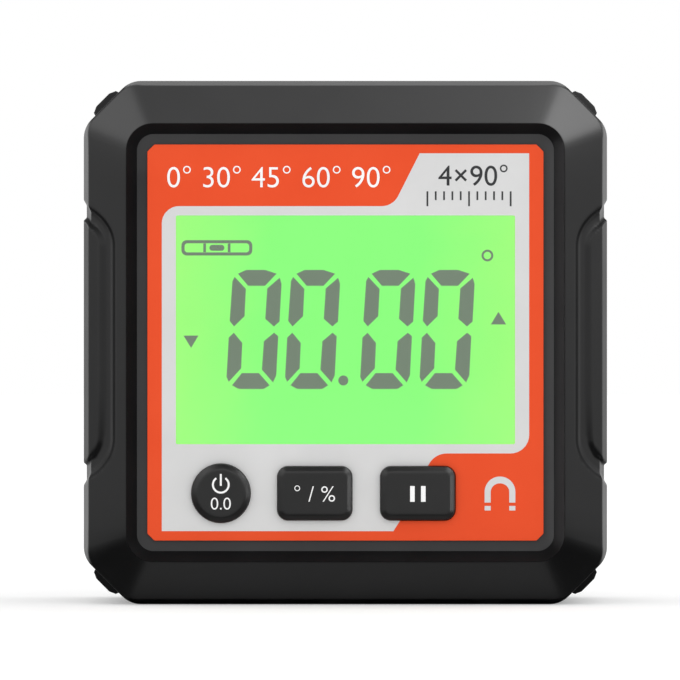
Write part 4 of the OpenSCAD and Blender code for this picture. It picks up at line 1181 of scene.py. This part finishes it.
def jacket(name, flat_end, pip_end):
    # Printed film: glossy dark grey and blue with a white line between, and silver at both ends.
    material = surface(name, "#23262B", "#2B2E34", 0.28, 0.5, 0.001, **PLAIN)
    tree = material.node_tree
    place = add(tree, "ShaderNodeTexCoord").outputs["Object"]
    side = add(tree, "ShaderNodeSeparateXYZ", {"Vector": place}).outputs["X"]
    along = add(tree, "ShaderNodeMapRange", {
        "Value": side, "From Min": flat_end * MM, "From Max": pip_end * MM}).outputs["Result"]
    bands = add(tree, "ShaderNodeValToRGB", {"Fac": along}, [
        (0.0, "#C9C4BC"), (BARE_FLAT, "#23262B"), (BAND, "#E2E3E4"), (BAND_END, "#4F7F93"),
        (BARE_PIP, "#C9C4BC")])
    bare = add(tree, "ShaderNodeValToRGB", {"Fac": along}, [
        (0.0, "#FFFFFF"), (BARE_FLAT, "#000000"), (BARE_PIP, "#FFFFFF")])
    for ramp, socket in ((bands, "Base Color"), (bare, "Metallic")):
        ramp.color_ramp.interpolation = "CONSTANT"
        tree.links.new(ramp.outputs["Color"], tree.nodes["Principled BSDF"].inputs[socket])
    return material


for name, (flat_end, pip_end) in (("upper_cell", (0, 1)), ("lower_cell", (1, 0))):
    ends = [corner[0] for corner in extent(name)]
    title = "printed jacket of the " + name.replace("_", " ")
    wear("cell_jacket", jacket(title, ends[flat_end], ends[pip_end]), name)
print("frame pieces with a finish:", len(dressed))

# %% [markdown]
# ## Floor, light and camera
# The gauge stands on a sheet of white paper, and the floor keeps its shadow. Black plastic shows little
# more than what it mirrors, so two more sheets are there for reflections alone. A black flag above the
# keys darkens their upper bevels. A sheet just under the front edge shows the bottom bevel a floor that
# gets darker towards the gauge. The floor itself is left out of reflections.

# %% Floor, flag and shade
MATT = {"Specular IOR Level": 0.0}
FLOOR_HALF, FLAG_HEIGHT, SHADE_HEIGHT = 3000, 50, -0.5


def sheet(name, west, east, south, north, height, material):
    mesh = bpy.data.meshes.new(name)
    corners = [(west, south, height), (east, south, height), (east, north, height), (west, north, height)]
    mesh.from_pydata([[c * MM for c in corner] for corner in corners], [], [(0, 1, 2, 3)])
    mesh.materials.append(material)
    obj = bpy.data.objects.new(name, mesh)
    bpy.context.scene.collection.objects.link(obj)
    return obj


# Paper: a flat white with no shine, lifted a little as a lit sweep is.
paper = surface("white paper sweep", "#E6E6E6", "#E8E8E8", 0.9, 0.6, 0.0, **MATT,
                **{"Emission Color": tone("#FFFFFF"), "Emission Strength": 0.3})
# Velvet: a black that gives nothing back.
velvet = surface("black velvet", "#040404", "#060606", 0.9, 0.6, 0.0, **MATT)
# Shaded paper: greys that fall to black where the gauge stands.
shaded = glow("paper in the shade of the gauge", "Y", -16.5, -11.5, (0.0, "#AEAEAE"), (0.5, "#9E9E9E"),
              (0.9, "#858585"), (1.0, "#000000"), speck=0.01)
floor = sheet("floor", -FLOOR_HALF, FLOOR_HALF, -FLOOR_HALF, FLOOR_HALF, 0, paper)
floor.visible_glossy = False
flag = sheet("flag", -24, 18, -38, -15.5, FLAG_HEIGHT, velvet)
shade = sheet("shade", -25.5, 25.5, -17.5, 12, SHADE_HEIGHT, shaded)
for card in (flag, shade):
    card.visible_camera = card.visible_diffuse = card.visible_transmission = card.visible_shadow = False
print("stage:", [obj.name for obj in (floor, flag, shade)])

# %% [markdown]
# The room is white for the camera. For light and reflections it is bright above and dim below, because
# a real table would be dark under the object, and it is bright to both sides behind the gauge, where
# the edge band looks. A picture of a studio could light it too, but this script reads no files. One
# number per direction, a mix of height and side, runs through a ramp of greys.

# %% Height and side of the room light
WING = 0.8
scene = bpy.context.scene
scene.view_settings.view_transform = "Standard"
scene.world = bpy.data.worlds.new("white room")
scene.world.use_nodes = True
tree = scene.world.node_tree
tree.nodes.clear()
heading = add(tree, "ShaderNodeTexCoord").outputs["Generated"]
part = add(tree, "ShaderNodeSeparateXYZ", {"Vector": heading}).outputs
behind = add(tree, "ShaderNodeMath", {0: part["Y"], 1: 0.0}, operation="MAXIMUM")
aside = add(tree, "ShaderNodeMath", {0: part["X"]}, operation="ABSOLUTE")
wing = add(tree, "ShaderNodeMath", {0: behind.outputs[0], 1: aside.outputs[0]}, operation="MULTIPLY")
height = add(tree, "ShaderNodeMath", {0: wing.outputs[0], 1: WING, 2: part["Z"]}, operation="MULTIPLY_ADD")
print("nodes for the direction:", len(tree.nodes))

# %% [markdown]
# The ramp goes from straight down to straight up. A mix shader then hides all of it from the camera,
# which sees plain white.

# %% Room light
level = add(tree, "ShaderNodeMapRange", {"Value": height.outputs[0], "From Min": -1.0, "From Max": 1.0})
greys = add(tree, "ShaderNodeValToRGB", {"Fac": level.outputs["Result"]}, [
    (0.0, "#A0A0A0"), (0.05, "#949494"), (0.12, "#0C0C0C"), (0.4, "#060606"), (0.48, "#C8C8C8"),
    (0.5, "#D6D6D6"), (0.6, "#FFFFFF"), (0.93, "#FFFFFF"), (1.0, "#E8E8E8")])
room = add(tree, "ShaderNodeBackground", {"Color": greys.outputs["Color"], "Strength": 1.0})
white = add(tree, "ShaderNodeBackground", {"Color": tone("#FFFFFF"), "Strength": 1.0})
camera_ray = add(tree, "ShaderNodeLightPath").outputs["Is Camera Ray"]
both = add(tree, "ShaderNodeMixShader", {0: camera_ray, 1: room.outputs[0], 2: white.outputs[0]})
add(tree, "ShaderNodeOutputWorld", {"Surface": both.outputs[0]})
print("room nodes:", len(tree.nodes))

# %% [markdown]
# Most softboxes are seen by reflections only, and each stands where one facet looks: two for the upper
# corners, one overhead, two behind for the edge band, one for the keys' right ends and a strip for the
# right wall of the recess. The one for the keys is linked to the keys alone, or the moat beside it
# would catch it too. Two fills light matt surfaces only.

# %% Softboxes
CARD_LENGTH, CARD_SPREAD = 46, 25


def softbox(name, place, size, power, fill=False, aim=(0, 0, MIDDLE), only=()):
    lamp = bpy.data.lights.new(name, "AREA")
    lamp.shape, lamp.size, lamp.energy = "DISK", size * MM, power
    obj = bpy.data.objects.new(name, lamp)
    obj.location = Vector(place) * MM
    obj.rotation_mode = "QUATERNION"
    obj.rotation_quaternion = (Vector(aim) - Vector(place)).to_track_quat("-Z", "Y")
    obj.visible_camera, obj.visible_diffuse, obj.visible_glossy = False, fill, not fill
    bpy.context.scene.collection.objects.link(obj)
    if only:
        obj.light_linking.receiver_collection = bpy.data.collections.new(name)
        for lit in only:
            obj.light_linking.receiver_collection.objects.link(lit)
    return lamp


softbox("corner_softbox_right", (117, -40, 147), size=98, power=0.092)
softbox("key_card", (42, -32.5, 13), size=14, power=0.0029, only=caps)
softbox("rear_card_right", (120, 106, 40), size=100, power=0.008)
softbox("rear_card_left", (-120, 106, 40), size=100, power=0.008)
softbox("corner_softbox_left", (-117, -40, 147), size=98, power=0.027)
softbox("overhead_card", (60, -46, 200), size=100, power=0.032)
wall_card = softbox("wall_card", (19.5, -17.5, 30), size=2, power=0.0009, aim=(24.5, -14.5, 30))
wall_card.shape, wall_card.size_y = "RECTANGLE", CARD_LENGTH * MM
wall_card.spread = math.radians(CARD_SPREAD)
softbox("front_fill", (250, -700, 500), size=600, power=0.3, fill=True)
softbox("side_fill", (600, 200, 350), size=400, power=0.5, fill=True)

# %% [markdown]
# The camera looks straight at the front, a hair to the left of the middle and above it. A long lens
# from far away keeps the sides of the case almost hidden. The lens follows from the width of the view
# at the plane of the edge band.

# %% Camera
DISTANCE, VIEW_WIDTH, VIEW_X, VIEW_Z, SENSOR = 800.0, 77.98, -0.62, 30.29, 36.0
lens = bpy.data.cameras.new("camera")
lens.sensor_width, lens.lens = SENSOR, SENSOR * DISTANCE / VIEW_WIDTH
lens.clip_start, lens.clip_end = 0.05, 20.0
camera = bpy.data.objects.new("camera", lens)
camera.location = (VIEW_X * MM, (Y_BAND - DISTANCE) * MM, VIEW_Z * MM)
camera.rotation_euler = (math.pi / 2, 0, 0)
bpy.context.scene.collection.objects.link(camera)
scene.camera = camera
print("camera", round(lens.lens, 1), "mm lens at", [round(c, 4) for c in camera.location])
